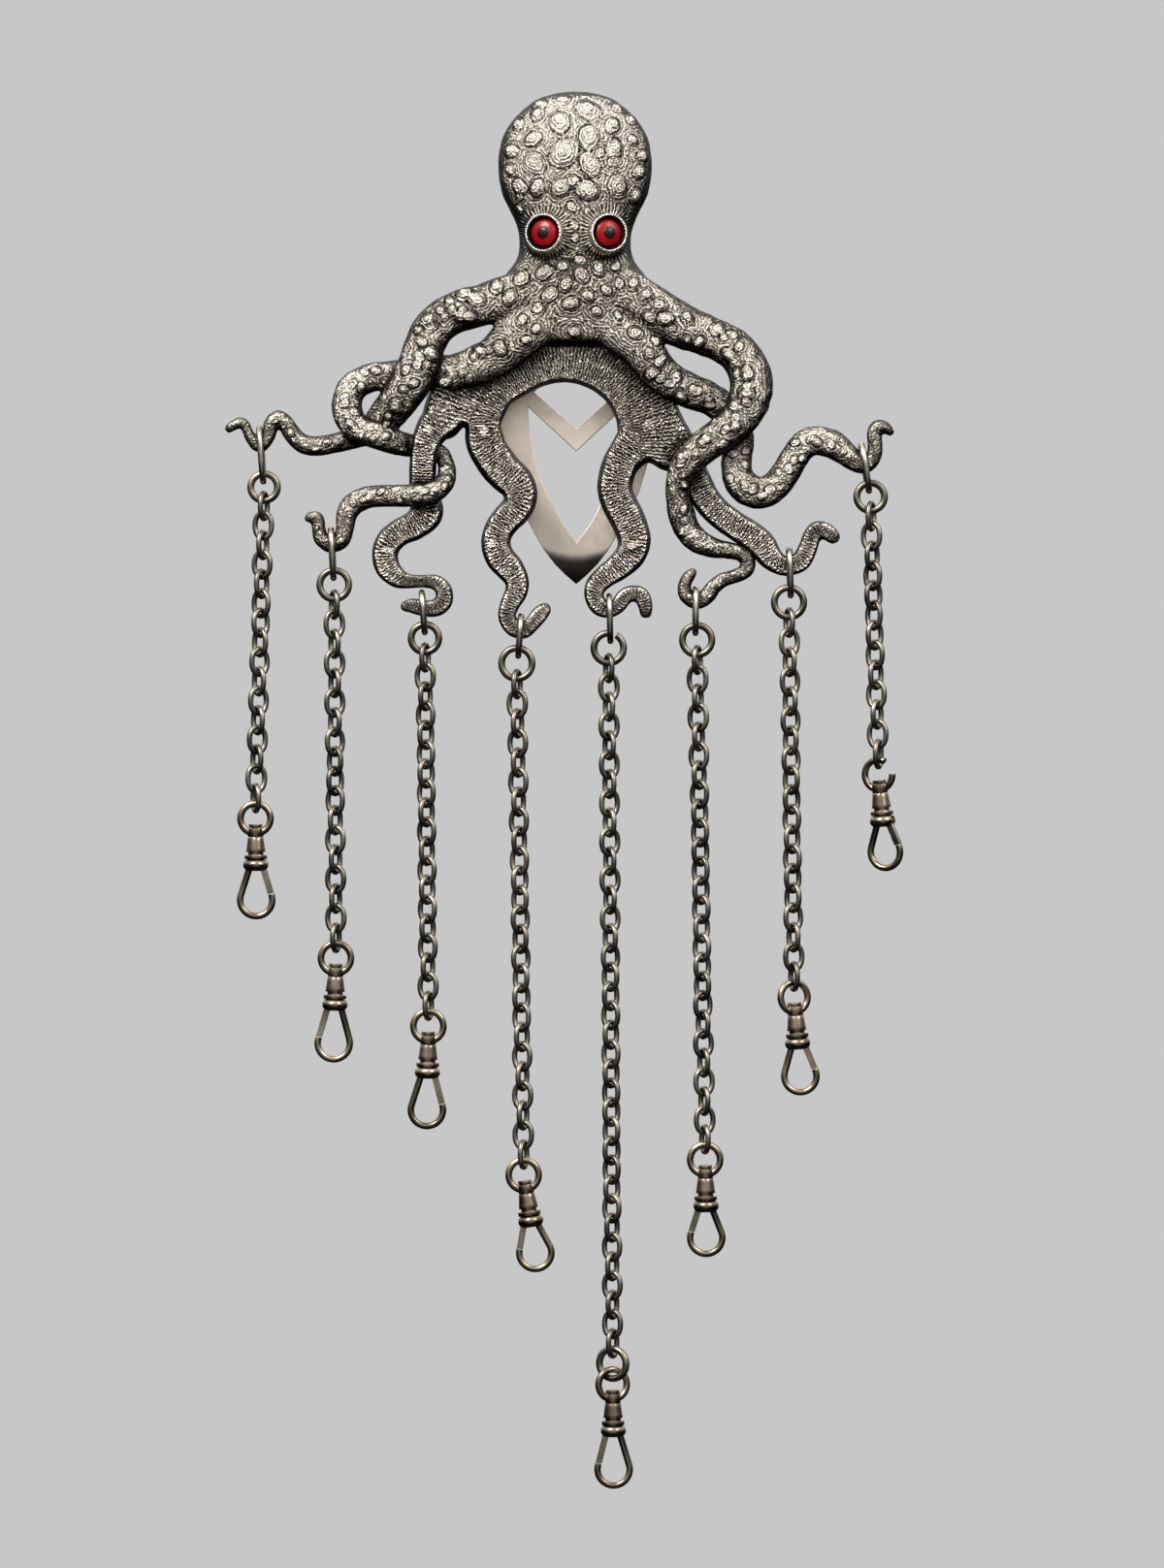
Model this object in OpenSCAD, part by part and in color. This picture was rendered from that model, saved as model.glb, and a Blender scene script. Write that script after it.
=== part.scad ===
// A silver chatelaine: an octopus with a belt hook behind it and a chain with a swivel clip on each arm.
// Millimetres, +Z up, front towards -Y. The origin lies under the belt hook's bend, in the middle of the
// gap that the belt goes into.

/* [Octopus] */
// Distance from the middle of the belt gap to the octopus's flat back
back_gap = 4.1; // [4.0:0.1:5]
// Depth of an arm as a share of its width
arm_depth = 0.8; // [0.7:0.05:0.9]
// Height of a wart above the skin
wart_rise = 0.45; // [0.3:0.05:0.6]
// Thickness of the ribbed web between the lower arms
web_t = 5.0; // [4.4:0.1:5.2]
// Depth at which the arms end and the chains hang
hang_y = -6.6; // [-7:0.1:-6.4]

/* [Eyes] */
// Distance from the middle to an eye
eye_x = 5.6; // [5.4:0.1:5.8]
// Height of the eyes
eye_z = 14.8; // [14:0.1:15.5]
// Depth of an eye's rim at its middle
eye_y = -13.5; // [-14:0.1:-13]
// Outward turn of an eye in degrees
eye_turn = 20; // [10:1:30]
// Radius of the red glass
eye_r = 2.35; // [2:0.05:2.5]
// Radius of the black pupil
pupil_r = 1; // [0.7:0.05:1.1]

/* [Belt hook] */
// Thickness of the sheet
sheet_t = 0.9; // [0.7:0.1:1.0]
// Width of the gap that the belt goes into
belt_gap = 6; // [5:0.1:6.2]
// Width of the strap at the bend
strap_w = 14; // [12:1:16]
// Length of the front leaf that is fixed to the octopus
leaf_l = 5; // [4:0.5:5]
// Radius of the tongue's backward curl at its tip
curl_r = 8; // [7:0.5:10]

/* [Rings and links] */
// Wire of the hangers round the arms
hanger_wire = 1.1; // [1.0:0.05:1.2]
// Width of a hanger, front to back
hanger_w = 6.2; // [6.1:0.1:6.6]
// Wire of the jump rings
ring_wire = 1.25; // [1.1:0.05:1.3]
// Wire of the chain links
link_wire = 0.98; // [0.9:0.02:1.0]
// Width of a chain link
link_w = 4.15; // [4.1:0.05:4.3]
// Play between two links
link_play = 0.12; // [0.1:0.01:0.15]
// Play between a link and a ring
ring_play = 0.2; // [0.15:0.05:0.3]
// Play between a hanger and its jump ring
hanger_play = 0.2; // [0.15:0.01:0.25]
// Play between the two rings at the foot of chain 5
two_ring_play = 0.38; // [0.36:0.01:0.45]

/* [Clips] */
// Outer diameter of a clip's bow
bow_d = 6.46; // [6.4:0.02:6.6]
// Wire of a clip's bow
bow_wire = 1.2; // [1.1:0.05:1.2]
// Play round the swivel pin and the gate's pin
pin_play = 0.05; // [0.03:0.01:0.08]
// Wire of the hook
hook_wire = 1.18; // [1.1:0.02:1.2]
// Radius of the hook's round end at the middle of its wire
hook_r = 2.82; // [2.7:0.02:2.9]

/* [Hidden] */
chain_numbers = [1, 2, 3, 4, 5, 6, 7, 8];

silver = [0.36, 0.34, 0.31];
bright = [0.62, 0.59, 0.54];
satin = [0.72, 0.68, 0.62];
warm = [0.55, 0.48, 0.38];
red = [0.5, 0.02, 0.02];
black = [0.02, 0.02, 0.02];
round_fn = 48;
wire_fn = 24;
pass = 0.01;

// Columns of every arm: x, z, y of its middle and half its width, from the body to the tip.
arm_a = [
    [-3.5, 7.0, -7.0, 3.4], [-8.3, 5.1, -8.2, 3.7], [-12.6, 3.7, -8.6, 3.9], [-16.0, 2.6, -9.0, 3.7],
    [-19.4, 1.7, -9.2, 3.7], [-22.4, 0.5, -9.3, 3.6], [-25.0, -1.7, -9.5, 3.6], [-26.5, -4.6, -9.8, 3.6],
    [-27.5, -7.7, -9.9, 3.6], [-28.9, -11.1, -9.7, 3.6], [-31.3, -14.5, -8.6, 3.4],
    [-33.7, -17.2, -7.2, 3.1], [-36.4, -19.4, -6.3, 2.4], [-39.4, -20.7, -6.2, 2.0],
    [-42.3, -21.6, -6.4, 1.8], [-45.7, -22.1, -6.6, 1.8], [-48.1, -21.6, -6.6, 1.7],
    [-49.8, -19.9, -6.6, 1.6], [-51.0, -18.0, -6.6, 1.5], [-52.3, -17.2, -6.6, 1.4],
    [-53.5, -18.3, -6.6, 1.35], [-53.8, -20.1, -6.6, 1.25], [-55.5, -21.8, -6.6, 1.5],
    [-57.3, -20.2, -6.6, 1.0], [-57.9, -18.5, -6.6, 0.9], [-58.9, -17.9, -6.6, 0.95],
    [-60.2, -18.6, -6.6, 0.95], [-60.9, -19.1, -6.6, 0.85]];
arm_b = [
    [-2.5, 2.0, -8.4, 4.3], [-8.3, -1.7, -9.4, 4.2], [-10.9, -3.7, -9.4, 4.2],
    [-14.3, -6.6, -9.1, 3.7], [-17.7, -8.3, -8.8, 3.6], [-21.1, -9.3, -8.2, 3.3], [-24.5, -9.5, -7.3, 3.1],
    [-27.9, -9.4, -6.6, 2.7], [-31.3, -9.5, -6.4, 2.55], [-34.4, -9.8, -6.7, 2.55],
    [-36.7, -10.4, -7.0, 2.55], [-39.1, -11.9, -7.7, 2.6], [-40.1, -14.3, -8.4, 2.7],
    [-39.8, -17.0, -9.1, 2.7], [-38.1, -19.2, -9.5, 2.5], [-35.5, -20.2, -9.6, 2.4],
    [-33.0, -21.1, -9.2, 2.3], [-30.4, -21.8, -8.0, 2.2], [-28.7, -22.1, -6.9, 2.0],
    [-26.2, -22.4, -5.9, 1.7], [-24.1, -23.1, -5.9, 1.55], [-23.0, -24.7, -6.5, 1.55],
    [-22.6, -26.9, -7.5, 1.7], [-23.3, -28.9, -8.6, 1.9], [-25.3, -30.3, -9.2, 2.0],
    [-27.9, -30.8, -9.2, 2.0], [-31.3, -30.9, -8.2, 2.0], [-34.7, -30.9, -7.1, 2.0],
    [-37.2, -31.3, -6.6, 2.0], [-39.3, -32.5, -6.6, 2.0], [-40.3, -34.5, -6.6, 1.85],
    [-40.5, -36.6, -6.6, 1.6], [-41.2, -38.6, -6.6, 1.6], [-43.0, -39.4, -6.6, 1.5],
    [-44.7, -38.3, -6.6, 1.4], [-45.1, -36.6, -6.6, 1.25], [-45.3, -34.9, -6.6, 1.2],
    [-46.2, -34.4, -6.6, 1.0], [-47.0, -34.8, -6.6, 0.85]];
arm_c = [
    [-19.0, -10.5, -7.0, 3.2], [-22.4, -16.2, -7.1, 3.4], [-24.8, -18.7, -7.6, 3.1],
    [-26.2, -21.3, -8.3, 2.6], [-26.7, -23.8, -8.5, 2.4], [-26.9, -26.4, -7.5, 2.4],
    [-26.9, -28.9, -6.6, 2.4], [-26.5, -31.5, -6.6, 2.8], [-26.2, -34.0, -6.6, 2.8],
    [-28.4, -36.0, -6.6, 2.6], [-30.9, -37.2, -6.6, 2.4], [-32.8, -38.9, -6.6, 2.4],
    [-33.5, -41.1, -6.6, 2.3], [-33.0, -43.4, -6.6, 2.2], [-31.3, -45.2, -6.6, 1.8],
    [-29.2, -45.8, -6.6, 1.3], [-27.0, -45.8, -6.6, 1.15], [-24.6, -46.0, -6.6, 1.35],
    [-23.2, -47.4, -6.6, 1.5], [-23.3, -49.4, -6.6, 1.6], [-24.7, -50.5, -6.6, 1.55],
    [-26.7, -50.5, -6.6, 1.45], [-28.7, -50.1, -6.6, 1.35], [-29.9, -50.2, -6.6, 1.0]];
arm_d = [
    [-11.5, -6.0, -7.2, 3.2], [-13.0, -10.0, -7.2, 3.2], [-16.0, -16.2, -7.2, 3.4],
    [-16.3, -18.7, -7.1, 3.1], [-16.2, -21.3, -7.0, 3.2], [-14.8, -23.8, -7.0, 3.4],
    [-12.8, -26.4, -7.0, 3.4], [-10.5, -28.6, -6.9, 3.2], [-9.7, -30.9, -6.8, 2.9],
    [-10.4, -33.0, -6.7, 2.8],
    [-12.2, -34.9, -6.7, 2.7], [-13.6, -36.9, -6.6, 2.6], [-14.1, -39.1, -6.6, 2.6],
    [-13.4, -41.5, -6.6, 2.6], [-11.7, -43.5, -6.6, 2.5], [-10.4, -45.6, -6.6, 2.1],
    [-10.5, -47.6, -6.6, 2.0], [-11.6, -49.8, -6.6, 1.75], [-12.15, -52.0, -6.6, 1.55],
    [-11.0, -53.9, -6.6, 1.6], [-9.2, -54.5, -6.6, 1.4], [-7.7, -53.2, -6.6, 1.4],
    [-6.5, -51.7, -6.6, 1.5], [-5.6, -50.8, -6.6, 1.3]];
arm_e = [
    [7.5, -6.0, -7.2, 3.4], [9.0, -11.0, -7.2, 3.4], [11.2, -18.7, -7.2, 3.7], [9.5, -22.1, -7.0, 3.2],
    [7.8, -25.2, -6.9, 3.2],
    [7.0, -27.5, -6.8, 3.1], [6.8, -29.8, -6.8, 3.1], [7.5, -32.0, -6.8, 3.1], [8.7, -34.3, -6.8, 3.1],
    [9.7, -36.6, -6.7, 3.0], [10.2, -38.8, -6.7, 2.9], [9.5, -41.1, -6.6, 2.7], [7.5, -43.2, -6.6, 2.4],
    [5.4, -44.7, -6.6, 2.1], [3.6, -46.4, -6.6, 1.9], [3.1, -48.3, -6.6, 1.7], [4.1, -50.2, -6.6, 1.65],
    [5.8, -50.8, -6.6, 1.45], [7.4, -50.0, -6.6, 1.4], [8.4, -48.6, -6.6, 1.45],
    [9.9, -47.9, -6.6, 1.45], [11.4, -48.3, -6.6, 1.45], [12.1, -50.0, -6.6, 1.3],
    [12.2, -51.3, -6.6, 1.1]];
arm_f = [
    [10.5, -8.0, -7.0, 3.4], [12.5, -13.0, -7.0, 3.4], [16.3, -21.3, -6.9, 3.4], [18.9, -24.7, -6.4, 3.1],
    [21.1, -28.1, -6.3, 2.6], [22.6, -31.1, -6.4, 2.55], [24.8, -33.7, -6.6, 2.5],
    [27.7, -35.9, -6.6, 2.5], [30.4, -37.6, -6.6, 2.55], [32.5, -39.4, -6.6, 2.55],
    [34.0, -41.5, -6.6, 2.2], [35.7, -42.9, -6.6, 1.8], [37.4, -43.1, -6.6, 1.75],
    [39.4, -42.2, -6.6, 1.8], [40.6, -40.0, -6.6, 1.7], [41.3, -37.9, -6.6, 1.6],
    [42.3, -36.7, -6.6, 1.5], [43.9, -37.1, -6.6, 1.5], [45.0, -38.0, -6.6, 1.3]];
arm_g = [
    [2.5, 1.6, -8.4, 4.2], [7.8, -2.6, -9.3, 3.7], [10.4, -4.3, -9.3, 3.7], [12.6, -6.8, -9.3, 3.6],
    [14.6, -9.4, -9.1, 3.4],
    [17.5, -11.4, -8.7, 3.2], [20.6, -12.8, -8.1, 3.1], [23.6, -13.9, -7.4, 2.9],
    [26.5, -16.2, -6.6, 2.7], [28.2, -18.7, -6.2, 2.6], [28.6, -21.3, -6.3, 2.6],
    [28.2, -23.8, -6.5, 2.7], [28.1, -26.0, -6.7, 2.7], [28.7, -28.2, -6.8, 2.9],
    [30.4, -29.9, -6.8, 2.9], [32.5, -30.3, -6.8, 2.8], [34.5, -29.4, -6.7, 2.7],
    [36.2, -27.5, -6.6, 2.6], [37.6, -25.2, -6.6, 2.55], [39.1, -22.8, -6.6, 2.55],
    [41.1, -21.3, -6.6, 2.6], [43.4, -21.3, -6.6, 2.6], [45.4, -22.1, -6.6, 2.5],
    [47.3, -23.5, -6.6, 2.2], [49.1, -24.9, -6.6, 1.85], [50.9, -25.3, -6.6, 1.6],
    [52.2, -23.8, -6.6, 1.4], [52.4, -21.8, -6.6, 1.35], [52.2, -19.9, -6.6, 1.35],
    [52.9, -18.7, -6.6, 1.3], [54.2, -18.9, -6.6, 1.1], [55.1, -19.7, -6.6, 0.8]];
arm_h = [
    [3.5, 7.2, -7.0, 3.8], [7.8, 5.1, -8.3, 4.3], [12.1, 2.6, -8.5, 4.1], [18.0, -0.9, -8.6, 4.0],
    [21.4, -2.3, -8.6, 3.7], [24.8, -3.7, -8.7, 3.6], [27.7, -5.4, -8.8, 3.6], [29.6, -7.7, -9.0, 3.65],
    [30.6, -10.5, -9.4, 3.8], [30.4, -13.6, -9.8, 3.75], [29.1, -16.7, -10.0, 3.4],
    [26.5, -19.2, -9.9, 3.1], [23.6, -21.4, -9.6, 3.0], [21.1, -23.3, -9.4, 3.0],
    [18.9, -25.8, -9.1, 2.7], [17.9, -28.9, -8.5, 2.3], [17.9, -31.5, -7.8, 2.2],
    [18.4, -34.0, -7.1, 2.45], [19.4, -36.6, -6.6, 2.3], [21.1, -38.6, -6.6, 2.2],
    [23.6, -39.8, -6.6, 1.9], [26.2, -40.3, -6.6, 1.6], [28.6, -40.8, -6.6, 1.5],
    [30.1, -42.0, -6.6, 1.4], [29.8, -43.9, -6.6, 1.35], [27.9, -44.9, -6.6, 1.3],
    [25.7, -45.6, -6.6, 1.35], [24.1, -46.8, -6.6, 1.4], [22.9, -48.4, -6.6, 1.45],
    [21.0, -49.3, -6.6, 1.5], [19.2, -48.2, -6.6, 1.35], [19.0, -46.4, -6.6, 1.2],
    [19.8, -44.9, -6.6, 1.15], [20.5, -44.2, -6.6, 0.85]];
upper_arms = [arm_a, arm_b, arm_g, arm_h];
lower_arms = [arm_c, arm_d, arm_e, arm_f];
arm_sides = 10;
// Turn of an arm, in degrees, that one straight stretch of its skin may take
arm_bend = 34;

// Columns of the mantle and shoulders: z, half width, depth in front of the flat back.
mantle = [
    [40.1, 2.6, 2.0], [39.1, 6.3, 4.2], [37.4, 8.75, 6.4], [35.4, 10.8, 8.0], [32.6, 12.6, 9.4],
    [29.4, 13.4, 10.4], [25.8, 13.5, 10.9], [22.1, 12.8, 10.9], [19.0, 11.3, 10.6], [16.0, 10.1, 10.2],
    [13.0, 9.8, 9.7], [10.6, 10.4, 9.1], [8.4, 12.0, 8.8], [5.5, 14.2, 8.7], [2.0, 15.6, 8.5],
    [-1.5, 14.0, 8.1], [-3.3, 10.0, 7.8], [-3.9, 9.0, 7.0], [-4.3, 8.0, 5.0]];
mantle_x = -0.2;
mantle_sides = 18;
half_widths = [for (row = mantle) [row[0], row[1]]];
depths = [for (row = mantle) [row[0], row[2]]];

// Columns of the mantle's and shoulders' warts: x, z, radius.
warts = [
    [2.0, 36.5, 2.2], [-2.9, 34.2, 1.9], [2.2, 31.5, 2.2], [-2.2, 28.6, 2.7], [-7.6, 31.3, 1.7],
    [-11.6, 29.4, 1.7], [-7.3, 27.2, 2.2], [2.4, 26.7, 2.2], [6.6, 29.4, 1.9], [6.3, 33.7, 1.5],
    [9.9, 35.2, 1.4], [7.3, 37.2, 1.2], [-6.6, 37.9, 1.7], [-10.3, 34.3, 1.4], [-6.8, 22.6, 1.7],
    [-2.7, 22.6, 1.9], [-0.7, 23.5, 1.6], [2.0, 22.1, 2.0], [-10.0, 23.0, 1.7], [7.3, 22.8, 2.0],
    [10.5, 21.3, 1.5], [11.2, 25.7, 1.4], [10.0, 31.3, 1.1], [-11.7, 26.0, 1.2], [-9.7, 19.2, 1.2],
    [-0.7, 19.2, 1.2], [-0.3, 16.0, 0.9], [-0.2, 13.9, 0.9], [-9.5, 7.1, 1.5], [-5.6, 8.0, 1.4],
    [-2.4, 9.0, 1.2], [0.7, 10.0, 1.2], [1.0, 7.5, 1.4], [3.9, 8.7, 1.2], [-1.9, 5.8, 1.2],
    [-4.6, 4.1, 1.4], [-1.0, 2.6, 1.4], [2.0, 3.9, 1.2], [5.3, 4.9, 1.1], [7.5, 6.1, 1.1],
    [10.0, 6.1, 1.2], [7.0, 9.2, 1.1], [-6.6, 1.7, 1.1], [-0.3, -2.4, 1.2], [3.6, 1.2, 1.0],
    [7.3, 0.5, 0.9]];
// An upper arm has a wart at every other row, from this one on, as long as it is this wide
arm_wart_from = 2;
arm_wart_min = 1.9;

rim_w = 1.0;
rim_depth = 2.2;
rim_rise = 0.6;
socket_depth = 0.9;
socket_play = 0.1;
eye_dome = 0.8;
pupil_floor = 0.3;
pupil_play = 0.05;
pupil_h = 0.4;
pupil_dome = 0.35;

// The web's edge: x, z, from the left arm root down, round the arch between the middle arms,
// to the right.
web_edge = [
    [-12, -4], [-17, -7], [-21.5, -9.2], [-24.5, -10.6], [-26.4, -14], [-27, -18], [-24.5, -21],
    [-21.5, -20.5], [-19.4, -18.6], [-18.6, -21.5], [-14, -24], [-12.4, -21.6], [-13.3, -17.9],
    [-12.6, -15.8], [-10.9, -14.3], [-7.5, -12.4], [-5.2, -11.4], [-2.2, -10.9], [1.4, -11.6],
    [4.8, -13.8], [6.8, -17.0], [7.3, -20.0], [8.5, -25], [10.5, -26.4], [12.6, -25.0], [15.5, -26.4],
    [19.0, -26.0], [20.6, -21], [18.4, -16.2], [15, -8.5], [10, -4.5]];

// Half of the belt hook's edge below the strap: x, z, from the strap to the tip.
hook_edge = [
    [9.4, -9.0], [11.8, -11.4], [13.2, -15.0], [13.4, -19.5], [12.6, -24.8], [11.1, -29.8],
    [8.8, -34.4], [7.4, -37.0], [5.7, -40.0], [3.8, -42.5], [1.9, -44.4], [0, -46.0]];
// Half of the heart-shaped cutout: x, z, from the top of its lobe to the bottom.
heart_edge = [
    [8.5, -14.8], [8.4, -18.5], [7.9, -21.6], [7.2, -24.6], [6.3, -27.4], [5.3, -29.8], [3.8, -33.0],
    [2.3, -35.7], [0, -38.8]];
heart_v = [0, -22.6];
notch_edge = [[5.6, -10.0], [7.4, -12.2], [0, -18.6]];
curl_z = -40.2;
curl_turn = 60;
plate_y = belt_gap / 2;
// Wider and deeper than any of the sheet, so that only the outline cuts it
hook_half_w = 20;
hook_depth = 60;

// Columns of each chain: hanger's top x, z, hanger's foot x; ring's middle x, z and outer diameter; bow's
// middle x, z; yaw of the first link and its drift down the chain in degrees; number of links.
hang_rows = [
    [-55.55, -18.4, -54.8, -54.7, -29.3, 5.95, -56.2, -87.4, 70, -50, 16],
    [-43.0, -36.1, -42.5, -42.4, -46.4, 6.3, -42.1, -111.9, -70, 50, 18],
    [-27.1, -47.2, -26.5, -26.5, -55.8, 6.1, -25.9, -123.8, 70, 0, 19],
    [-9.6, -51.3, -10.2, -10.4, -60.2, 6.6, -9.2, -149.9, 70, 0, 25],
    [5.8, -47.8, 6.0, 5.7, -57.5, 6.45, 6.4, -186.6, -70, 42, 36],
    [20.95, -46.5, 20.9, 21.2, -56.1, 6.4, 22.6, -147.2, 70, -50, 26],
    [37.3, -39.6, 37.6, 37.3, -49.5, 6.4, 38.2, -118.7, -70, 0, 19],
    [49.9, -21.3, 51.4, 51.6, -31.0, 6.1, 53.0, -79.7, 70, 0, 13]];
// Columns of each clip: lean to the right in degrees, side of the gate (1 right, -1 left), height of the
// hook's round end below the bow's middle, turn of the bow and of the hook about the pin in degrees.
clip_rows = [
    [0.5, 1, -14.3, 0, 0], [-1.5, -1, -14.9, 0, 0], [-1, 1, -14.7, 0, 0], [8.5, -1, -13.8, 0, 0],
    [0.6, -1, -14.9, 20, 0], [0.8, -1, -13.7, 0, 0], [4.5, 1, -13.9, 25, 0], [5, 1, -13.6, -27, -27]];
open_ring_deg = 345;
ring_opening_turn = -60;
bow_open_deg = 300;
bow_opening_turn = -58;
extra_ring_d = 6.5;
extra_ring_turn = -28;

function mix4(a, b, c, d, t) =
    b + (c - a) * t / 2 + (a - 2.5 * b + 2 * c - d / 2) * t * t
    + ((d - a) / 2 + 1.5 * (b - c)) * t * t * t;
function row_at(rows, i) = rows[max(0, min(len(rows) - 1, i))];
function unit(v) = v / norm(v);
function heading(rows, i) = let (before = row_at(rows, i - 1), after = row_at(rows, i + 1))
    unit([after[0] - before[0], after[1] - before[1]]);
function steps_after(rows, i) =
    max(1, ceil(acos(min(1, heading(rows, i) * heading(rows, i + 1))) / arm_bend));
function smooth(rows) = concat(
    [for (i = [0:len(rows) - 2]) let (steps = steps_after(rows, i)) for (s = [0:steps - 1])
        mix4(row_at(rows, i - 1), rows[i], rows[i + 1], row_at(rows, i + 2), s / steps)],
    [rows[len(rows) - 1]]);
function depth_of(half_w) = arm_depth * half_w + 0.15;

// An arm's last ring, drawn in and moved on along the arm, so that the tip is blunt and round.
function round_tip(rows) = let (n = len(rows) - 1, tip = rows[n], reach = heading(rows, n) * tip[3] * 0.7)
    concat(rows, [[tip[0] + reach[0], tip[1] + reach[1], tip[2], tip[3] * 0.5]]);

// The faces of a closed skin over rings of points, from ring 0 to the last one.
function skin_faces(last, sides) = concat(
    [[for (j = [0:sides - 1]) j]],
    [for (i = [0:last - 1]) for (j = [0:sides - 1]) let (next = (j + 1) % sides)
        [i * sides + j, (i + 1) * sides + j, (i + 1) * sides + next, i * sides + next]],
    [[for (j = [sides - 1:-1:0]) last * sides + j]]);

// A closed skin round the rows of an arm: an oval ring at each row, across the arm's heading.
module arm(rows) {
    path = round_tip(smooth(rows));
    last = len(path) - 1;
    points = [for (i = [0:last]) let (way = heading(path, i), row = path[i]) for (j = [0:arm_sides - 1])
        let (turn = (j + 0.5) * 360 / arm_sides, out = row[3] * cos(turn))
        [row[0] + way[1] * out, row[2] + depth_of(row[3]) * sin(turn), row[1] - way[0] * out]];
    polyhedron(points, skin_faces(last, arm_sides), convexity = 8);
}

// The mantle's front at a place: an ellipse across, whose half width and depth follow the tables.
function across(x, z) = max(-0.93, min(0.93, (x - mantle_x) / lookup(z, half_widths)));
function front_y(x, z) = -back_gap - lookup(z, depths) * sqrt(1 - across(x, z) * across(x, z));
function front_turn(x, z) = let (u = across(x, z))
    atan2(u / lookup(z, half_widths), sqrt(1 - u * u) / lookup(z, depths));
function front_tip(x, z) = atan2(front_y(x, z + 0.5) - front_y(x, z - 0.5), 1);

module mantle_skin() {
    last = len(mantle) - 1;
    points = [for (row = mantle) for (j = [0:mantle_sides - 1]) let (turn = j * 180 / (mantle_sides - 1))
        [mantle_x + row[1] * cos(turn), -back_gap - row[2] * sin(turn), row[0]]];
    polyhedron(points, skin_faces(last, mantle_sides), convexity = 4);
}

module wart(radius, rise, sides) {
    hull() {
        translate([0, 0, -0.8]) cylinder(r = radius, h = 0.8, $fn = sides);
        translate([0, 0, rise - 0.1]) cylinder(r = radius * 0.55, h = 0.1, $fn = sides);
    }
}

module mantle_warts() {
    for (row = warts) {
        x = row[0];
        z = row[1];
        translate([x, front_y(x, z), z]) rotate([0, 0, front_turn(x, z)])
            rotate([90 + front_tip(x, z), 0, 0]) wart(row[2] * 0.8, wart_rise, 7);
    }
}

module arm_warts(rows) {
    for (i = [arm_wart_from:2:len(rows) - 1]) {
        row = rows[i];
        way = heading(rows, i);
        side = (i % 4 - 1) * 0.3 * row[3];
        if (row[3] > arm_wart_min)
            translate([row[0] + way[1] * side, row[2] - depth_of(row[3]) * 0.93, row[1] - way[0] * side])
                rotate([90, 0, 0]) wart(row[3] * 0.34, wart_rise * 0.7, 6);
    }
}

module at_eye(side) {
    translate([side * eye_x, eye_y, eye_z]) rotate([0, 0, side * eye_turn]) rotate([90, 0, 0]) children();
}

// Each rim reaches back into the mantle and stands a little over the glass's foot.
module eye_rims() {
    for (side = [-1, 1]) at_eye(side) translate([0, 0, -rim_depth])
        cylinder(r = eye_r + rim_w, h = rim_depth + rim_rise, $fn = 24);
}

module eye_sockets() {
    for (side = [-1, 1]) at_eye(side) translate([0, 0, -socket_depth])
        cylinder(r = eye_r + socket_play, h = socket_depth + 2, $fn = 24);
}

module web() {
    translate([0, -back_gap, 0]) rotate([90, 0, 0]) linear_extrude(web_t) polygon(web_edge);
}

module octopus() {
    color(silver) difference() {
        union() {
            mantle_skin();
            mantle_warts();
            for (rows = upper_arms) {
                arm(rows);
                arm_warts(rows);
            }
            for (rows = lower_arms) arm(rows);
            web();
            eye_rims();
        }
        eye_sockets();
    }
}

// A low dome over a circle at z = 0.
module dome(radius, height) {
    ball = (radius * radius + height * height) / (2 * height);
    intersection() {
        translate([0, 0, height - ball]) sphere(r = ball, $fn = round_fn);
        cylinder(r = radius, h = height + 1, $fn = round_fn);
    }
}

// The red glass: a low dome on a short cylinder, with a round recess for the pupil.
module eye(side) {
    foot = socket_depth - socket_play;
    color(red) at_eye(side) difference() {
        union() {
            translate([0, 0, -foot]) cylinder(r = eye_r, h = foot + pass, $fn = round_fn);
            dome(eye_r, eye_dome);
        }
        translate([0, 0, pupil_floor]) cylinder(r = pupil_r + pupil_play, h = eye_dome, $fn = round_fn);
    }
}

module pupil(side) {
    color(black) at_eye(side) translate([0, 0, pupil_floor + pupil_play]) {
        cylinder(r = pupil_r, h = pupil_h, $fn = round_fn);
        translate([0, 0, pupil_h - pass]) dome(pupil_r, pupil_dome);
    }
}

// A symmetrical outline from its right half.
function both_halves(half) = concat(
    half,
    [for (i = [len(half) - 1:-1:0]) if (half[i][0] > 0) [-half[i][0], half[i][1]]]);

module hook_front() {
    difference() {
        polygon(both_halves(concat([[strap_w / 2, 2 * sheet_t], [strap_w / 2, -8.0]], hook_edge)));
        polygon(concat([heart_v], both_halves(heart_edge)));
        polygon(both_halves(notch_edge));
    }
}

// A bent stretch of the sheet about X: from start degrees past +Y, for turn degrees.
module bent_sheet(inner_r, start, turn) {
    translate([-hook_half_w, 0, 0]) rotate([90, 0, 90])
        rotate_extrude(angle = turn, start = start, $fn = round_fn)
            translate([inner_r, 0]) square([sheet_t, 2 * hook_half_w]);
}

module flat_sheet(y, top, foot) {
    translate([-hook_half_w, y, foot]) cube([2 * hook_half_w, sheet_t, top - foot]);
}

// The front leaf, the bend over the belt, the tongue behind it and its tip curled back,
// all cut to the outline.
module belt_hook() {
    bend_z = -belt_gap / 2;
    color(satin) intersection() {
        union() {
            flat_sheet(-plate_y - sheet_t, bend_z, bend_z - leaf_l);
            translate([0, 0, bend_z]) bent_sheet(plate_y, 0, 180);
            flat_sheet(plate_y, bend_z, curl_z);
            translate([0, plate_y + sheet_t + curl_r, curl_z]) bent_sheet(curl_r, 180, curl_turn);
        }
        translate([0, hook_depth / 2, 0]) rotate([90, 0, 0]) linear_extrude(hook_depth) hook_front();
    }
}

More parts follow.
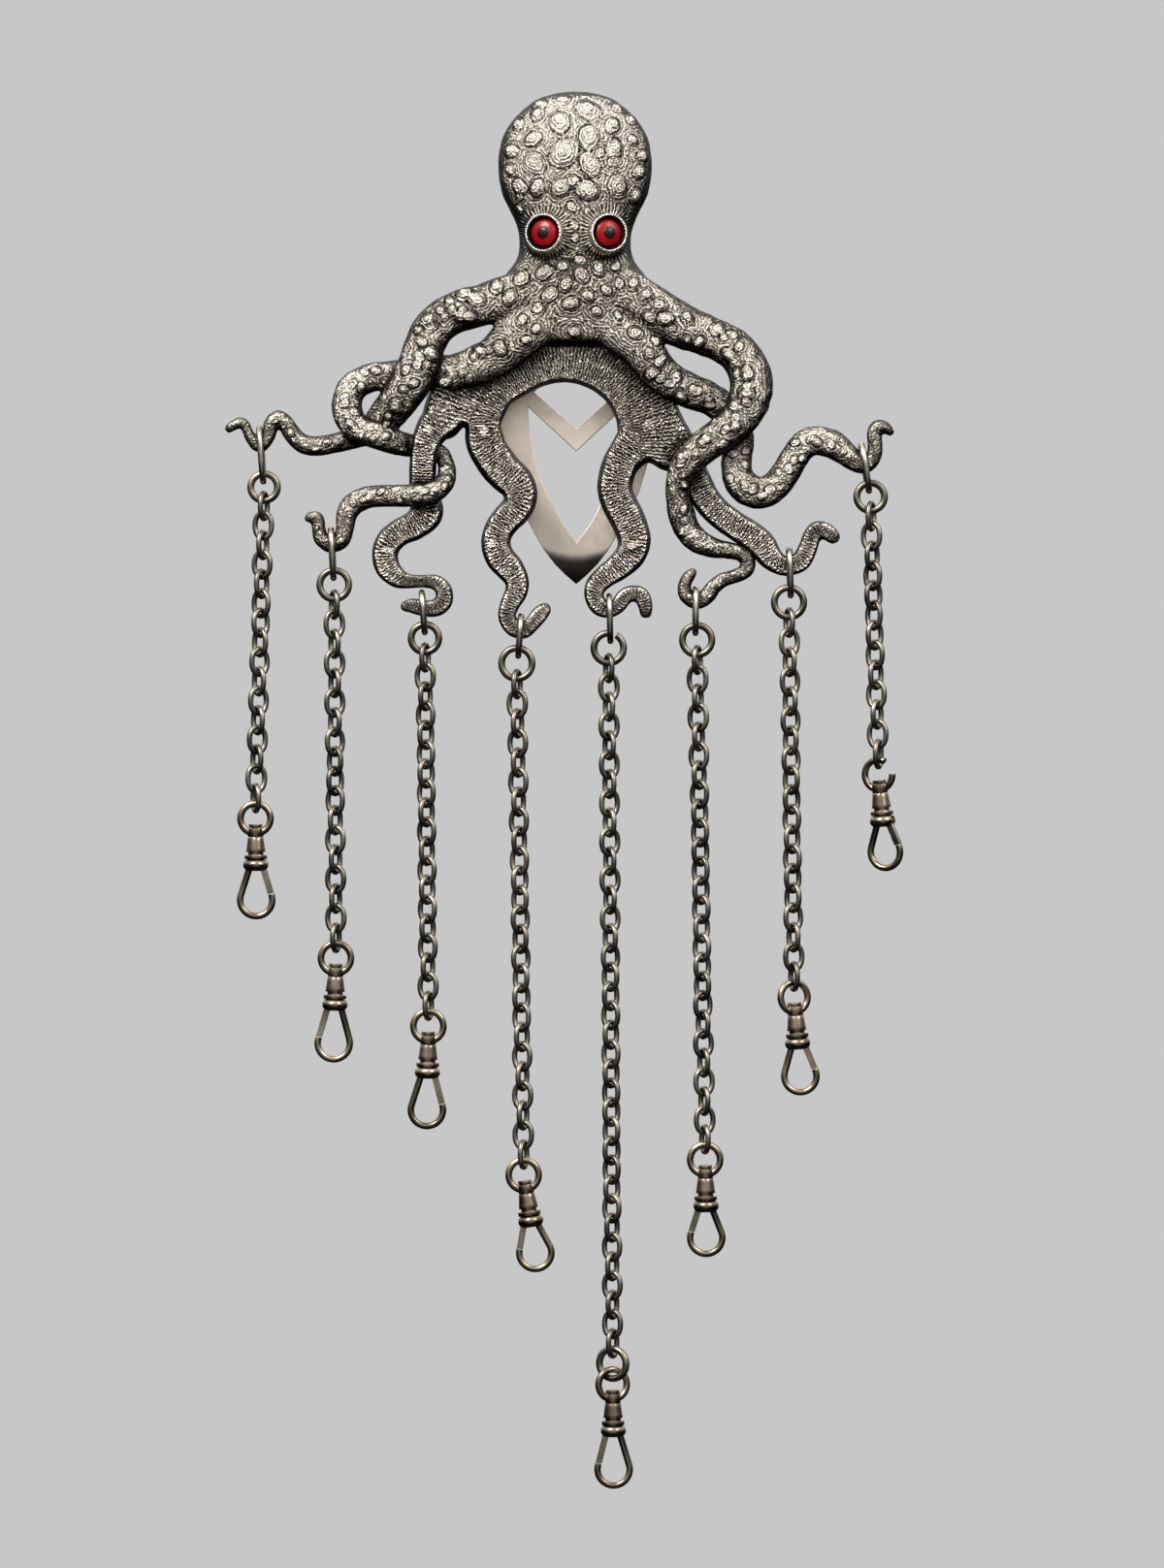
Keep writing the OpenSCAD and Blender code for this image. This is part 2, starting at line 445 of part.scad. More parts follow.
module wire_ring(outer_d, wire, turn = 360) {
    rotate([90, 0, 0]) rotate_extrude(angle = turn, $fn = round_fn)
        translate([(outer_d - wire) / 2, 0]) circle(d = wire, $fn = wire_fn);
}

// An oval of wire in the XZ plane: two half rings joined by two straight wires.
module oval(long, wide, wire) {
    straight = long - wide;
    for (end = [0, 180]) rotate([0, end, 0]) translate([0, 0, straight / 2]) wire_ring(wide, wire, 180);
    for (side = [-1, 1]) translate([side * (wide - wire) / 2, 0, -straight / 2])
        cylinder(d = wire, h = straight, $fn = wire_fn);
}

function row_of(k) = hang_rows[k - 1];
function lean(k) = clip_rows[k - 1][0];
function gate_side(k) = clip_rows[k - 1][1];
function hook_z(k) = clip_rows[k - 1][2];
function bow_turn(k) = clip_rows[k - 1][3];
function hook_turn(k) = clip_rows[k - 1][4];
function ring_x(k) = row_of(k)[3];
function ring_z(k) = row_of(k)[4];
function ring_d(k) = row_of(k)[5];
function bow_x(k) = row_of(k)[6];
function bow_z(k) = row_of(k)[7];
function link_count(k) = row_of(k)[10];

module hanger(k) {
    row = row_of(k);
    top = [row[0], row[1]];
    foot = [row[2], ring_z(k) + ring_d(k) / 2 - ring_wire - hanger_wire - hanger_play];
    middle = (top + foot) / 2;
    swing = atan2(top[0] - foot[0], top[1] - foot[1]);
    color(bright) translate([middle[0], hang_y, middle[1]]) rotate([0, swing, 0]) rotate([0, 0, 90])
        oval(round(norm(top - foot) * 50) / 50, hanger_w, hanger_wire);
}

module top_ring(k) {
    turn = k == 5 ? open_ring_deg : 360;
    color(silver) translate([ring_x(k), hang_y, ring_z(k)]) rotate([0, k == 5 ? ring_opening_turn : 0, 0])
        wire_ring(ring_d(k), ring_wire, turn);
}

// Chain 5 ends on its extra ring, the others on the clip's bow.
function foot_inside(k) =
    k == 5 ? extra_ring_z() + extra_ring_d / 2 - ring_wire : bow_z(k) + bow_d / 2 - bow_wire;
function foot_wire(k) = k == 5 ? ring_wire : bow_wire;
function extra_ring_z() = bow_z(5) + bow_d / 2 - bow_wire / 2 - two_ring_play - (bow_wire + ring_wire) / 2
    + extra_ring_d / 2 - ring_wire / 2;
function first_top(k) = ring_z(k) - ring_d(k) / 2 + ring_wire + ring_play + link_wire;
function last_foot(k) = foot_inside(k) - ring_play - link_wire;
function chain_pitch(k) =
    (first_top(k) - last_foot(k) - 2 * link_wire - link_play) / link_count(k);
function link_long(k) = round((chain_pitch(k) + 2 * link_wire + link_play) * 50) / 50;
function yaw_of(k, i) = let (last = link_count(k) - 1)
    row_of(k)[8] + 90 * i + row_of(k)[9] * i / last
    + (8 * sin(i * 25 + k * 70) - (row_of(k)[9] == 0 ? 25 * sign(row_of(k)[8]) : 0)) * sin(180 * i / last);

module chain(k) {
    n = link_count(k);
    color(silver) for (i = [0:n - 1]) {
        share = (i + 0.5) / n;
        top = first_top(k) - i * chain_pitch(k);
        translate([ring_x(k) + (bow_x(k) - ring_x(k)) * share, hang_y, top - link_long(k) / 2])
            rotate([0, 0, yaw_of(k, i)]) oval(link_long(k), link_w, link_wire);
    }
}

module extra_ring_5() {
    color(silver) translate([bow_x(5), hang_y, extra_ring_z()]) rotate([0, 0, extra_ring_turn])
        wire_ring(extra_ring_d, ring_wire);
}

// A clip's own frame: the middle of its bow, its pin along Z, its gate towards +X.
bead_top = -1.72;
bead_foot = -3.25;
bead_r = 1.35;
pin_r = 0.6;
cap_r = 1.2;
cap_h = 0.65;
// Play under the cap and over the barrel
end_play = 0.08;
barrel_top = bead_foot - end_play;
barrel_foot = -5.85;
barrel_top_r = 1.36;
barrel_foot_r = 1.7;
groove_r = 1.35;
collar_top = -6.45;
collar_foot = -7.1;
collar_r = 1.98;
ball_foot = -9.2;
ball_r = 2.25;
leg_top = [-1.2, -8.9];
gate_pin = [1.15, -8.3];
gate_pin_r = 0.35;
gate_eye_r = 0.8;
gate_t = 1.0;
gate_w = 1.1;
slot_play = 0.1;
pin_reach = 0.4;
gate_end_turn = 22;
gate_gap = 0.12;

module at_bow(k) {
    translate([bow_x(k), hang_y, bow_z(k)]) rotate([0, -lean(k), 0]) children();
}

module at_clip(k) {
    at_bow(k) rotate([0, 0, hook_turn(k) + (gate_side(k) > 0 ? 0 : 180)]) children();
}

// A turned part of a clip between two heights.
module turned(top, foot, top_r, foot_r) {
    translate([0, 0, foot]) cylinder(r1 = foot_r, r2 = top_r, h = top - foot, $fn = round_fn);
}

module clip_bow(k) {
    color(warm) at_bow(k) rotate([0, 0, bow_turn(k)]) difference() {
        union() {
            if (k == 8)
                rotate([0, bow_opening_turn, 0]) wire_ring(bow_d, bow_wire, bow_open_deg);
            else
                wire_ring(bow_d, bow_wire);
            turned(bead_top, bead_foot, bead_r, bead_r);
        }
        turned(bead_top + 1, bead_foot - 1, pin_r + pin_play, pin_r + pin_play);
        turned(bead_top + cap_h + 0.5, bead_top, cap_r + slot_play, cap_r + slot_play);
        turned(bead_foot, bead_foot - 2, 3, 3);
    }
}

module clip_ball() {
    height = collar_foot - ball_foot;
    translate([0, 0, ball_foot]) rotate_extrude($fn = round_fn) {
        square([ball_r - height / 2, height]);
        translate([ball_r - height / 2, height / 2]) intersection() {
            circle(d = height, $fn = wire_fn * 2);
            translate([-0.2, -height]) square([height, 2 * height]);
        }
    }
}

// The hook's bend and its straight leg, which meets the bend at a tangent.
module clip_hook(k) {
    centre = [0, hook_z(k)];
    reach = norm(leg_top - centre);
    leg_turn = atan2(leg_top[1] - centre[1], leg_top[0] - centre[0]) + acos(hook_r / reach);
    translate([0, 0, hook_z(k)]) rotate([0, 180 - leg_turn, 0]) {
        rotate([0, 180, 0]) wire_ring(2 * hook_r + hook_wire, hook_wire, 360 + gate_end_turn - leg_turn);
        translate([-hook_r, 0, 0])
            cylinder(d = hook_wire, h = sqrt(reach * reach - hook_r * hook_r), $fn = wire_fn);
    }
}

module clip_body(k) {
    color(warm) at_clip(k) {
        difference() {
            union() {
                turned(bead_top + end_play + pass, barrel_top - pass, pin_r, pin_r);
                turned(bead_top + end_play + cap_h, bead_top + end_play, cap_r, cap_r);
                turned(barrel_top, barrel_foot, barrel_top_r, barrel_foot_r);
                turned(barrel_foot + pass, collar_top - 2 * pass, groove_r, groove_r);
                turned(collar_top - pass, collar_foot - pass, collar_r, collar_r);
                clip_ball();
                clip_hook(k);
            }
            translate([gate_pin[0] - gate_eye_r - slot_play, -gate_t / 2 - slot_play, ball_foot - 0.5])
                cube([4, gate_t + 2 * slot_play, gate_pin[1] + gate_eye_r + slot_play - ball_foot + 0.5]);
        }
        translate([gate_pin[0], gate_t / 2 + pin_reach, gate_pin[1]]) rotate([90, 0, 0])
            cylinder(r = gate_pin_r, h = gate_t + 2 * pin_reach, $fn = wire_fn);
    }
}

// The gate: an eye on the pin, and a flat bar down to the hook's open end.
module clip_gate(k) {
    end = [0, hook_z(k)] + hook_r * [cos(gate_end_turn), sin(gate_end_turn)];
    length = norm(end - gate_pin) - gate_gap;
    swing = atan2(end[0] - gate_pin[0], gate_pin[1] - end[1]);
    color(bright) at_clip(k) translate([gate_pin[0], gate_t / 2, gate_pin[1]]) rotate([90, -swing, 0])
        linear_extrude(gate_t) difference() {
            union() {
                circle(r = gate_eye_r, $fn = round_fn);
                translate([-gate_w / 2, -length]) square([gate_w, length]);
            }
            circle(r = gate_pin_r + pin_play, $fn = round_fn);
        }
}

octopus();
belt_hook();
eye(-1);  // eye_left
eye(1);  // eye_right
pupil(-1);  // pupil_left
pupil(1);  // pupil_right
extra_ring_5();
for (k = chain_numbers) {
    hanger(k);
    top_ring(k);
    chain(k);
    clip_bow(k);
    clip_body(k);
    clip_gate(k);
}
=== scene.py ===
"""An octopus chatelaine in oxidised silver, with red glass eyes, a belt hook, eight chains and eight clips.

Lengths in the tables are millimetres, in the frame of the part: +Z up, front towards -Y.
"""

import bpy
import numpy as np
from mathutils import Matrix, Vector


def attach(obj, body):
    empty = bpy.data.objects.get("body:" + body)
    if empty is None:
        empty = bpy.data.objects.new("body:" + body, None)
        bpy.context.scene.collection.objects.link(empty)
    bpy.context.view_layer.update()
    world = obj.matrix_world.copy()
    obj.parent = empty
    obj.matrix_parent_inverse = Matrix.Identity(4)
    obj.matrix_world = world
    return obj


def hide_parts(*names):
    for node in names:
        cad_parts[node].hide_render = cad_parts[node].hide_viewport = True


MM = 0.001
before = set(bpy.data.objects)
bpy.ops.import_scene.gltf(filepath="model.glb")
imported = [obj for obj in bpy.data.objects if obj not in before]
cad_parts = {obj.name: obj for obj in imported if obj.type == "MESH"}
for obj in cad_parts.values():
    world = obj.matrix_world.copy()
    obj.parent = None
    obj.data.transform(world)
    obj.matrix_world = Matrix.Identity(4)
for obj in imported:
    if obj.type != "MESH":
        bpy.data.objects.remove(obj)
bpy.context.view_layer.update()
rng = np.random.default_rng(7)

# How far the flat back lies in front of the origin, and the plane that the rings and chains hang in.
BACK_GAP = 4.1
HANG_Y = -6.6
# Thickness of the web between the lower arms.
WEB_T = 5.4
# The middle of the right-hand eye and its turn outwards in degrees; the other is its mirror image.
EYE_X, EYE_Y, EYE_Z, EYE_TURN = 5.6, -13.5, 14.8, 20
# Grid on which the closed skins are made one.
VOXEL = 0.33

# Columns of every arm: x, z, y of its middle and half its width, from the body to the tip.
ARMS = {
    "a": [
        [-3.5, 7, -7, 3.4], [-8.3, 5.1, -8.2, 3.7], [-12.6, 3.7, -8.6, 3.9], [-16, 2.6, -9, 3.7],
        [-19.4, 1.7, -9.2, 3.7], [-22.4, 0.5, -9.3, 3.6], [-25, -1.7, -9.5, 3.6], [-26.5, -4.6, -9.8, 3.6],
        [-27.5, -7.7, -9.9, 3.6], [-28.9, -11.1, -9.7, 3.6], [-31.3, -14.5, -8.6, 3.4],
        [-33.7, -17.2, -7.2, 3.1], [-36.4, -19.4, -6.3, 2.4], [-39.4, -20.7, -6.2, 2],
        [-42.3, -21.6, -6.4, 1.8], [-45.7, -22.1, -6.6, 1.8], [-48.1, -21.6, -6.6, 1.7],
        [-49.8, -19.9, -6.6, 1.6], [-51, -18, -6.6, 1.5], [-52.3, -17.2, -6.6, 1.4],
        [-53.5, -18.3, -6.6, 1.35], [-53.8, -20.1, -6.6, 1.25], [-55.5, -21.8, -6.6, 1.5],
        [-57.3, -20.2, -6.6, 1], [-57.9, -18.5, -6.6, 0.9], [-58.9, -17.9, -6.6, 0.95],
        [-60.2, -18.6, -6.6, 0.95], [-60.9, -19.1, -6.6, 0.85]],
    "b": [
        [-2.5, 2, -8.4, 4.3], [-8.3, -1.7, -9.4, 4.2], [-10.9, -3.7, -9.4, 4.2], [-14.3, -6.6, -9.1, 3.7],
        [-17.7, -8.3, -8.8, 3.6], [-21.1, -9.3, -8.2, 3.3], [-24.5, -9.5, -7.3, 3.1],
        [-27.9, -9.4, -6.6, 2.7], [-31.3, -9.5, -6.4, 2.55], [-34.4, -9.8, -6.7, 2.55],
        [-36.7, -10.4, -7, 2.55], [-39.1, -11.9, -7.7, 2.6], [-40.1, -14.3, -8.4, 2.7],
        [-39.8, -17, -9.1, 2.7], [-38.1, -19.2, -9.5, 2.5], [-35.5, -20.2, -9.6, 2.4],
        [-33, -21.1, -9.2, 2.3], [-30.4, -21.8, -8, 2.2], [-28.7, -22.1, -6.9, 2], [-26.2, -22.4, -5.9, 1.7],
        [-24.1, -23.1, -5.9, 1.55], [-23, -24.7, -6.5, 1.55], [-22.6, -26.9, -7.5, 1.7],
        [-23.3, -28.9, -8.6, 1.9], [-25.3, -30.3, -9.2, 2], [-27.9, -30.8, -9.2, 2], [-31.3, -30.9, -8.2, 2],
        [-34.7, -30.9, -7.1, 2], [-37.2, -31.3, -6.6, 2], [-39.3, -32.5, -6.6, 2],
        [-40.3, -34.5, -6.6, 1.85], [-40.5, -36.6, -6.6, 1.6], [-41.2, -38.6, -6.6, 1.6],
        [-43, -39.4, -6.6, 1.5], [-44.7, -38.3, -6.6, 1.4], [-45.1, -36.6, -6.6, 1.25],
        [-45.3, -34.9, -6.6, 1.2], [-46.2, -34.4, -6.6, 1], [-47, -34.8, -6.6, 0.85]],
    "c": [
        [-19, -10.5, -6.7, 3.2], [-22.4, -16.2, -6.9, 3.4], [-24.8, -18.7, -7.6, 3.1],
        [-26.2, -21.3, -8.3, 2.6], [-26.7, -23.8, -8.5, 2.4], [-26.9, -26.4, -7.5, 2.4],
        [-26.9, -28.9, -6.6, 2.4], [-26.5, -31.5, -6.6, 2.8], [-26.2, -34, -6.6, 2.8],
        [-28.4, -36, -6.6, 2.6], [-30.9, -37.2, -6.6, 2.4], [-32.8, -38.9, -6.6, 2.4],
        [-33.5, -41.1, -6.6, 2.3], [-33, -43.4, -6.6, 2.2], [-31.3, -45.2, -6.6, 1.8],
        [-29.2, -45.8, -6.6, 1.3], [-27, -45.8, -6.6, 1.15], [-24.6, -46, -6.6, 1.35],
        [-23.2, -47.4, -6.6, 1.5], [-23.3, -49.4, -6.6, 1.6], [-24.7, -50.5, -6.6, 1.55],
        [-26.7, -50.5, -6.6, 1.45], [-28.7, -50.1, -6.6, 1.35], [-29.9, -50.2, -6.6, 1]],
    "d": [
        [-11.5, -6, -6.6, 3.2], [-13, -10, -6.7, 3.2], [-16, -16.2, -6.9, 3.4], [-16.3, -18.7, -7.1, 3.1],
        [-16.2, -21.3, -7, 3.2], [-14.8, -23.8, -7, 3.4], [-12.8, -26.4, -7, 3.4], [-10.5, -28.6, -6.9, 3.2],
        [-9.7, -30.9, -6.8, 2.9], [-10.4, -33, -6.7, 2.8], [-12.2, -34.9, -6.7, 2.7],
        [-13.6, -36.9, -6.6, 2.6], [-14.1, -39.1, -6.6, 2.6], [-13.4, -41.5, -6.6, 2.6],
        [-11.7, -43.5, -6.6, 2.5], [-10.4, -45.6, -6.6, 2.1], [-10.5, -47.6, -6.6, 2],
        [-11.6, -49.8, -6.6, 1.75], [-12.15, -52, -6.6, 1.55], [-11, -53.9, -6.6, 1.6],
        [-9.2, -54.5, -6.6, 1.4], [-7.7, -53.2, -6.6, 1.4], [-6.5, -51.7, -6.6, 1.5],
        [-5.6, -50.8, -6.6, 1.3]],
    "e": [
        [7.5, -6, -6.5, 3.4], [9, -11, -6.5, 3.4], [11.2, -18.7, -6.7, 3.7], [9.5, -22.1, -7, 3.2],
        [7.8, -25.2, -6.9, 3.2], [7, -27.5, -6.8, 3.1], [6.8, -29.8, -6.8, 3.1], [7.5, -32, -6.8, 3.1],
        [8.7, -34.3, -6.8, 3.1], [9.7, -36.6, -6.7, 3], [10.2, -38.8, -6.7, 2.9], [9.5, -41.1, -6.6, 2.7],
        [7.5, -43.2, -6.6, 2.4], [5.4, -44.7, -6.6, 2.1], [3.6, -46.4, -6.6, 1.9], [3.1, -48.3, -6.6, 1.7],
        [4.1, -50.2, -6.6, 1.65], [5.8, -50.8, -6.6, 1.45], [7.4, -50, -6.6, 1.4], [8.4, -48.6, -6.6, 1.45],
        [9.9, -47.9, -6.6, 1.45], [11.4, -48.3, -6.6, 1.45], [12.1, -50, -6.6, 1.3],
        [12.2, -51.3, -6.6, 1.1]],
    "f": [
        [10.5, -8, -6.5, 3.4], [12.5, -13, -6.6, 3.4], [16.3, -21.3, -6.7, 3.4], [18.9, -24.7, -6.4, 3.1],
        [21.1, -28.1, -6.3, 2.6], [22.6, -31.1, -6.4, 2.55], [24.8, -33.7, -6.6, 2.5],
        [27.7, -35.9, -6.6, 2.5], [30.4, -37.6, -6.6, 2.55], [32.5, -39.4, -6.6, 2.55],
        [34, -41.5, -6.6, 2.2], [35.7, -42.9, -6.6, 1.8], [37.4, -43.1, -6.6, 1.75],
        [39.4, -42.2, -6.6, 1.8], [40.6, -40, -6.6, 1.7], [41.3, -37.9, -6.6, 1.6], [42.3, -36.7, -6.6, 1.5],
        [43.9, -37.1, -6.6, 1.5], [45, -38, -6.6, 1.3]],
    "g": [
        [2.5, 1.6, -8.4, 4.2], [7.8, -2.6, -9.3, 3.7], [10.4, -4.3, -9.3, 3.7], [12.6, -6.8, -9.3, 3.6],
        [14.6, -9.4, -9.1, 3.4], [17.5, -11.4, -8.7, 3.2], [20.6, -12.8, -8.1, 3.1],
        [23.6, -13.9, -7.4, 2.9], [26.5, -16.2, -6.6, 2.7], [28.2, -18.7, -6.2, 2.6],
        [28.6, -21.3, -6.3, 2.6], [28.2, -23.8, -6.5, 2.7], [28.1, -26, -6.7, 2.7], [28.7, -28.2, -6.8, 2.9],
        [30.4, -29.9, -6.8, 2.9], [32.5, -30.3, -6.8, 2.8], [34.5, -29.4, -6.7, 2.7],
        [36.2, -27.5, -6.6, 2.6], [37.6, -25.2, -6.6, 2.55], [39.1, -22.8, -6.6, 2.55],
        [41.1, -21.3, -6.6, 2.6], [43.4, -21.3, -6.6, 2.6], [45.4, -22.1, -6.6, 2.5],
        [47.3, -23.5, -6.6, 2.2], [49.1, -24.9, -6.6, 1.85], [50.9, -25.3, -6.6, 1.6],
        [52.2, -23.8, -6.6, 1.4], [52.4, -21.8, -6.6, 1.35], [52.2, -19.9, -6.6, 1.35],
        [52.9, -18.7, -6.6, 1.3], [54.2, -18.9, -6.6, 1.1], [55.1, -19.7, -6.6, 0.8]],
    "h": [
        [3.5, 7.2, -7, 3.8], [7.8, 5.1, -8.3, 4.3], [12.1, 2.6, -8.5, 4.1], [18, -0.9, -8.6, 4],
        [21.4, -2.3, -8.6, 3.7], [24.8, -3.7, -8.7, 3.6], [27.7, -5.4, -8.8, 3.6], [29.6, -7.7, -9, 3.65],
        [30.6, -10.5, -9.4, 3.8], [30.4, -13.6, -9.8, 3.75], [29.1, -16.7, -10, 3.4],
        [26.5, -19.2, -9.9, 3.1], [23.6, -21.4, -9.6, 3], [21.1, -23.3, -9.4, 3], [18.9, -25.8, -9.1, 2.7],
        [17.9, -28.9, -8.5, 2.3], [17.9, -31.5, -7.8, 2.2], [18.4, -34, -7.1, 2.45],
        [19.4, -36.6, -6.6, 2.3], [21.1, -38.6, -6.6, 2.2], [23.6, -39.8, -6.6, 1.9],
        [26.2, -40.3, -6.6, 1.6], [28.6, -40.8, -6.6, 1.5], [30.1, -42, -6.6, 1.4],
        [29.8, -43.9, -6.6, 1.35], [27.9, -44.9, -6.6, 1.3], [25.7, -45.6, -6.6, 1.35],
        [24.1, -46.8, -6.6, 1.4], [22.9, -48.4, -6.6, 1.45], [21, -49.3, -6.6, 1.5],
        [19.2, -48.2, -6.6, 1.35], [19, -46.4, -6.6, 1.2], [19.8, -44.9, -6.6, 1.15],
        [20.5, -44.2, -6.6, 0.85]],
}
# The middle of the web's opening, which the strokes on the web point to.
HOLE_X = -2.2
HOLE_Z = -22.0
# The web's own band round the opening, in the arms' columns.
WEB_LINE = [
    [-22.5, -17, -7.5, 4], [-19.5, -12.5, -7.5, 4.5], [-14.5, -10, -7.5, 4.5], [-10, -9.5, -7.5, 4.5],
    [-5, -7.6, -7.5, 4.5], [0, -6.9, -7.5, 4.5], [4.5, -8.2, -7.5, 4.5], [8.2, -11.5, -7.5, 4.5],
    [11.5, -15.5, -7.5, 4.5], [14.5, -20.5, -7.5, 4.5]]
# Columns of the mantle and shoulders: z, half width, depth in front of the flat back.
MANTLE = [
    [40.1, 2.6, 2], [39.1, 6.3, 4.2], [37.4, 8.75, 6.4], [35.4, 10.8, 8], [32.6, 12.6, 9.4],
    [29.4, 13.4, 10.4], [25.8, 13.5, 10.9], [22.1, 12.8, 10.9], [19, 11.3, 10.6], [16, 10.1, 10.2],
    [13, 9.8, 9.7], [10.6, 10.4, 9.1], [8.4, 12, 8.8], [5.5, 14.2, 8.7], [2, 15.6, 8.5], [-1.5, 14, 8.1],
    [-3.3, 10, 7.8], [-3.9, 9, 7], [-4.3, 8, 5]]
MANTLE_X = -0.2
# Columns of the warts on the mantle, shoulders and arm roots: x, z, radius, height, rings cut round them.
WARTS = [
    [2, 36.5, 2.2, 0.42, 3], [-2.9, 34.2, 1.9, 0.5, 2], [2.2, 31.5, 2.1, 0.55, 2],
    [-2.2, 28.6, 2.6, 0.75, 2], [-7.6, 31.3, 1.5, 0.5, 1], [-11.6, 29.4, 1.5, 0.5, 1],
    [-7.3, 27, 1.9, 0.3, 3], [2.4, 26.7, 2, 0.45, 3], [6.6, 29.4, 1.7, 0.5, 2], [6.3, 33.7, 1.5, 0.45, 2],
    [9.9, 35.2, 1.3, 0.4, 1], [7.3, 37.2, 1.1, 0.35, 1], [-6.6, 37.9, 1.5, 0.35, 1],
    [-10.3, 34.3, 1.3, 0.45, 1], [-6.9, 35.9, 1.4, 0.3, 3], [-6.8, 22.6, 1.5, 0.65, 1],
    [-2.7, 22.6, 1.7, 0.7, 1], [-0.7, 23.6, 1.1, 0.35, 1], [2, 22.1, 1.9, 0.75, 1], [-10, 23, 1.5, 0.5, 1],
    [7.3, 22.8, 1.9, 0.35, 3], [10.5, 21.3, 1.3, 0.45, 1], [11.2, 25.7, 1.3, 0.45, 1],
    [11.9, 28.6, 1.2, 0.4, 1], [10, 31.3, 1, 0.35, 1], [-11.7, 26, 1.1, 0.4, 1], [-9.9, 19.2, 1, 0.4, 1],
    [-9.9, 21.4, 0.9, 0.3, 1], [4.1, 28.7, 0.8, 0.2, 1], [6.5, 27.2, 1.1, 0.25, 1],
    [-2.4, 38.6, 1.2, 0.2, 2], [-0.7, 19.2, 1, 0.3, 1], [-0.3, 16, 0.8, 0.25, 1], [-0.2, 13.9, 0.8, 0.25, 1],
    [-9.5, 7.1, 1.5, 0.5, 2], [-5.6, 8, 1.4, 0.5, 1], [-2.4, 9, 1.1, 0.5, 1], [0.7, 10, 1.1, 0.45, 1],
    [1, 7.5, 1.3, 0.4, 3], [3.9, 8.7, 1.2, 0.45, 1], [-1.9, 5.8, 1.2, 0.55, 1], [-4.6, 4.1, 1.4, 0.5, 1],
    [-1, 2.5, 1.3, 0.6, 1], [2, 3.9, 1.1, 0.5, 1], [5.3, 4.9, 1, 0.5, 1], [7.5, 6.1, 1, 0.5, 1],
    [10, 6.1, 1.1, 0.5, 1], [7, 9.2, 1, 0.4, 1], [-6.6, 1.7, 1, 0.3, 1], [-0.3, -2.4, 1.1, 0.45, 1],
    [3.6, 1.2, 0.9, 0.4, 1], [7.3, 0.5, 0.8, 0.4, 1], [-13.9, 5.6, 1.3, 0.5, 1], [-11.6, 3.6, 1.3, 0.5, 1],
    [-19.4, 4.3, 1.5, 0.45, 1], [-17.3, 3.1, 1.2, 0.4, 1], [-22.1, 3.1, 1, 0.4, 1],
    [-23.8, 1.4, 0.9, 0.4, 1], [-21.6, 1.4, 0.9, 0.4, 1], [-19.9, 1.2, 1, 0.4, 1],
    [-25.8, -0.2, 0.8, 0.4, 1], [-27.7, -2, 0.7, 0.35, 1], [-26.9, -4.3, 1, 0.4, 2],
    [-13.4, -5.3, 1.3, 0.55, 1], [-6.6, 1.7, 1, 0.4, 1], [-9.4, -0.3, 1, 0.45, 1], [-7, -1.9, 0.9, 0.4, 1],
    [-8.7, -3.9, 0.9, 0.4, 1], [10.4, -2.6, 1.2, 0.45, 1], [13.9, -3.9, 0.9, 0.4, 1],
    [12.8, -6.1, 0.9, 0.35, 1], [17.5, -10.2, 1.2, 0.4, 1], [15.1, -7.1, 0.8, 0.4, 1],
    [12.1, 4.1, 1, 0.4, 1], [14.5, 2.4, 1.1, 0.35, 1], [12.9, 0.1, 1.2, 0.35, 1], [25.1, -2, 1, 0.35, 2],
    [27.6, -3, 1, 0.35, 1], [28.4, -5.1, 1, 0.35, 1], [29.6, -8.9, 0.9, 0.3, 1]]
# Low bumps on the web: x, z.
WEB_BUMPS = [
    [-25.7, -19.4], [-16, -19.5], [12.6, -18.7], [-14.6, -39.4], [10, -39.6], [-33, -40.5]]
# The web's edge: x, z, from the left arm's root down, round the arch between the middle arms, to the right.
WEB_EDGE = [
    [-12, -4], [-17, -7], [-21.5, -9.2], [-24.5, -10.6], [-26.4, -14], [-27, -18], [-24.5, -21],
    [-21.5, -20.5], [-19.4, -18.6], [-18.6, -21.5], [-14, -24], [-12.4, -21.6], [-13.3, -17.9],
    [-12.6, -15.8], [-10.9, -14.3], [-7.5, -12.4], [-5.2, -11.4], [-2.2, -10.9], [1.4, -11.6], [4.8, -13.8],
    [6.8, -17], [7.3, -20], [8.5, -25], [10.5, -26.4], [12.6, -25], [15.5, -26.4], [19, -26], [20.6, -21],
    [18.4, -16.2], [15, -8.5], [10, -4.5]]
# Columns of each chain: hanger's top x, z, hanger's foot x; ring's middle x, z and outer diameter; bow's
# middle x, z; yaw of the first link and its drift down the chain in degrees; number of links.
HANG = [
    [-55.55, -18.4, -54.8, -54.7, -29.3, 5.95, -56.2, -87.4, 70, -50, 16],
    [-43, -36.1, -42.5, -42.4, -46.4, 6.3, -42.1, -111.9, -70, 50, 18],
    [-27.1, -47.2, -26.5, -26.5, -55.8, 6.1, -25.9, -123.8, 70, 0, 19],
    [-9.6, -51.3, -10.2, -10.4, -60.2, 6.6, -9.2, -149.9, 70, 0, 25],
    [5.8, -47.8, 6, 5.7, -57.5, 6.45, 6.4, -186.6, -70, 42, 36],
    [20.95, -46.5, 20.9, 21.2, -56.1, 6.4, 22.6, -147.2, 70, -50, 26],
    [37.3, -39.6, 37.6, 37.3, -49.5, 6.4, 38.2, -118.7, -70, 0, 19],
    [49.9, -21.3, 51.4, 51.6, -31, 6.1, 53, -79.7, 70, 0, 13]]
